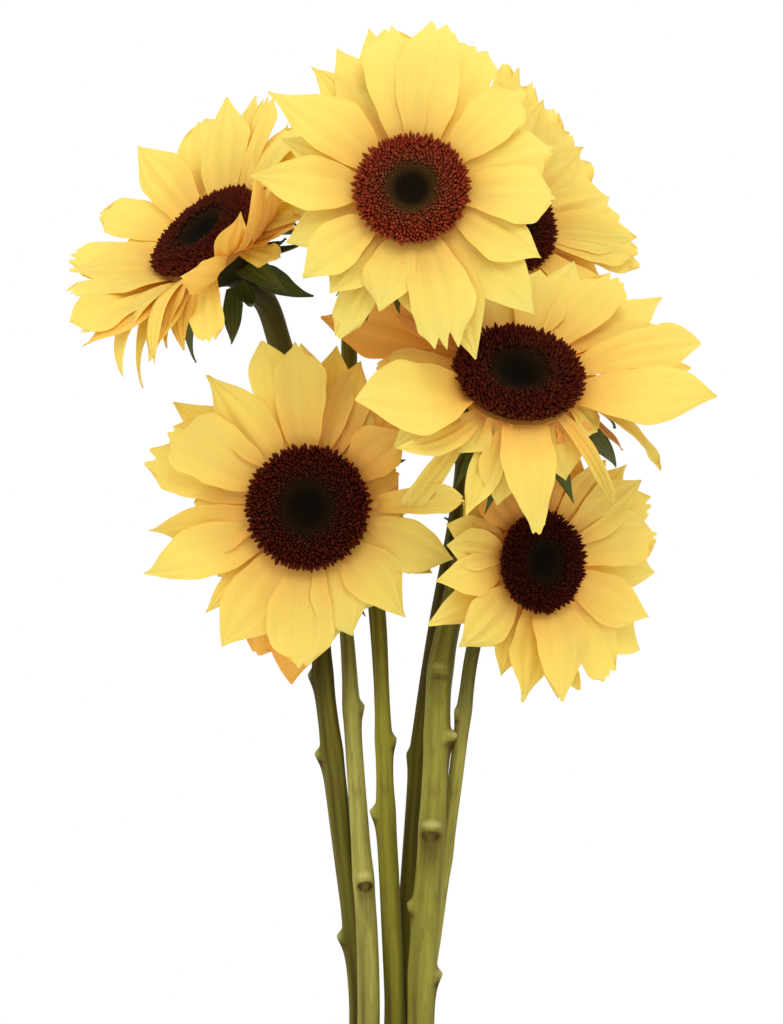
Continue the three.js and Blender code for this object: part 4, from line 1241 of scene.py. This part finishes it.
# Profiles are (radius, height). The lip's heights are from the top, and edge is the water's edge from the wall
# and its level.
vaseForm = {
    "height": 250, "wall": 3.2, "sides": 128, "water": 148, "intoWall": 0.12, "steps": 90,
    "outside": ((38, 0), (44, 3), (51, 22), (57, 62), (57, 98), (49, 138), (36, 176), (26.6, 208), (25.4, 222),
                (27, 236), (33, 248.5), (33, 250)),
    "foot": ((0, 1.2), (34, 1.2), (36.5, 0.2), (39.5, 0), (42.4, 0.9)),
    "lip": ((30.2, -7), (32.4, -2.6), (33, -1), (32.6, -0.2), (31.4, 0), (30.2, -0.4), (29.6, -1.6), (27.6, -6.4)),
    "floor": ((43.2, 13.6), (40.6, 10.6), (36, 9.2), (30, 9), (0, 9)),
    "waterFoot": ((0, 8.9), (30, 8.9), (36, 9.1), (40.7, 10.5), (43.3, 13.5)), "edge": ((-0.8, -0.5), (-2.2, -0.9)),
    "waterWall": (15, 2),  # mm: the height where the water follows the vase's wall, and how far under its level
}


# Radii and heights on a smooth curve through the corners of the frame's profile, in the (radius, height) plane.
def smoothProfile(corners):
    return smoothPath([(r, 0, z) for r, z in corners], vaseForm["steps"])[0][:, [0, 2]]


def makeVase(material):
    outer = smoothProfile(vaseForm["outside"][1:-2])
    inner = smoothProfile([(r - vaseForm["wall"], z) for r, z in vaseForm["outside"][2:-2]])
    lip = [(r, vaseForm["height"] + down) for r, down in vaseForm["lip"]]
    profile = [*vaseForm["foot"], *outer, *lip, *inner[::-1], *vaseForm["floor"]]
    vase = makePiece("vase_glass", turned(profile, vaseForm["sides"]), material, "glass", "vase", sharpFrom=70)
    vase.visible_shadow = False
    return inner


# The water reaches a hair into the glass, so that no air shows between them, and climbs the wall by a low edge.
def makeWater(material, inner):
    level, grow = vaseForm["water"], vaseForm["intoWall"]
    lowest, under = vaseForm["waterWall"]
    wall = inner[(inner[:, 1] > lowest) & (inner[:, 1] < level - under)]
    edge = np.interp(level, inner[:, 1], inner[:, 0])
    surface = [(edge + out, level + down) for out, down in ((grow, 0), *vaseForm["edge"])]
    profile = [*vaseForm["waterFoot"], *(wall + (grow, 0)), *surface, (0, surface[-1][1])]
    water = makePiece("water_body", turned(profile, vaseForm["sides"]), material, "water", "water", sharpFrom=70)
    water.visible_shadow = False


# Clear glass or water, with the faintest waves in its surface.
def clearFinish(name, colour, index, waves):
    material, tree, shader = newFinish(name)
    coat(tree, shader, srgb(*colour), Transmission_Weight=1.0, IOR=index, Roughness=0.0)
    bumped(tree, shader, speckle(tree, ownPlace(tree), waves), 0.06, 0.4)
    return material


def layFloor():
    radius, depth = stage["radius"] / mm, stage["depth"]
    circle = turned([(0, -depth), (radius, -depth), (radius, 0), (0, 0)], stage["sides"])
    mesh = bpy.data.meshes.new("floor")
    mesh.from_pydata((circle["points"] * mm).tolist(), [], circle["quads"].tolist() + circle["tris"].tolist())
    material, tree, shader = newFinish("floorFinish")
    mottle = speckle(tree, ownPlace(tree), stage["mottleScale"])
    colour = washed(tree, srgb(*stage["floor"]), mottle, stage["mottle"], stage["mottleShare"])
    coat(tree, shader, colour, Roughness=stage["roughness"])
    mesh.materials.append(material)
    floor = placed("floor", mesh)


bpy.context.scene.view_settings.view_transform = "Standard"
placeCamera()
hangLamps()
paintSky()
layFloor()
print("stage set")

insideWall = makeVase(clearFinish("glassFinish", (246, 251, 249), 1.5, 14.0))
makeWater(clearFinish("waterFinish", (250, 253, 252), 1.33, 30.0), insideWall)
print("vase and water made")

yellow, dark, bark, leafGreen = rayFinish(), discFinish(), stemFinish(), bractFinish()
for flowerName, flower in flowers.items():
    makeRays(flowerName, flower, yellow)
    makeDisc(flowerName, flower, dark)
    makeGreens(flowerName, flower, bark, leafGreen)
print("flowers made")
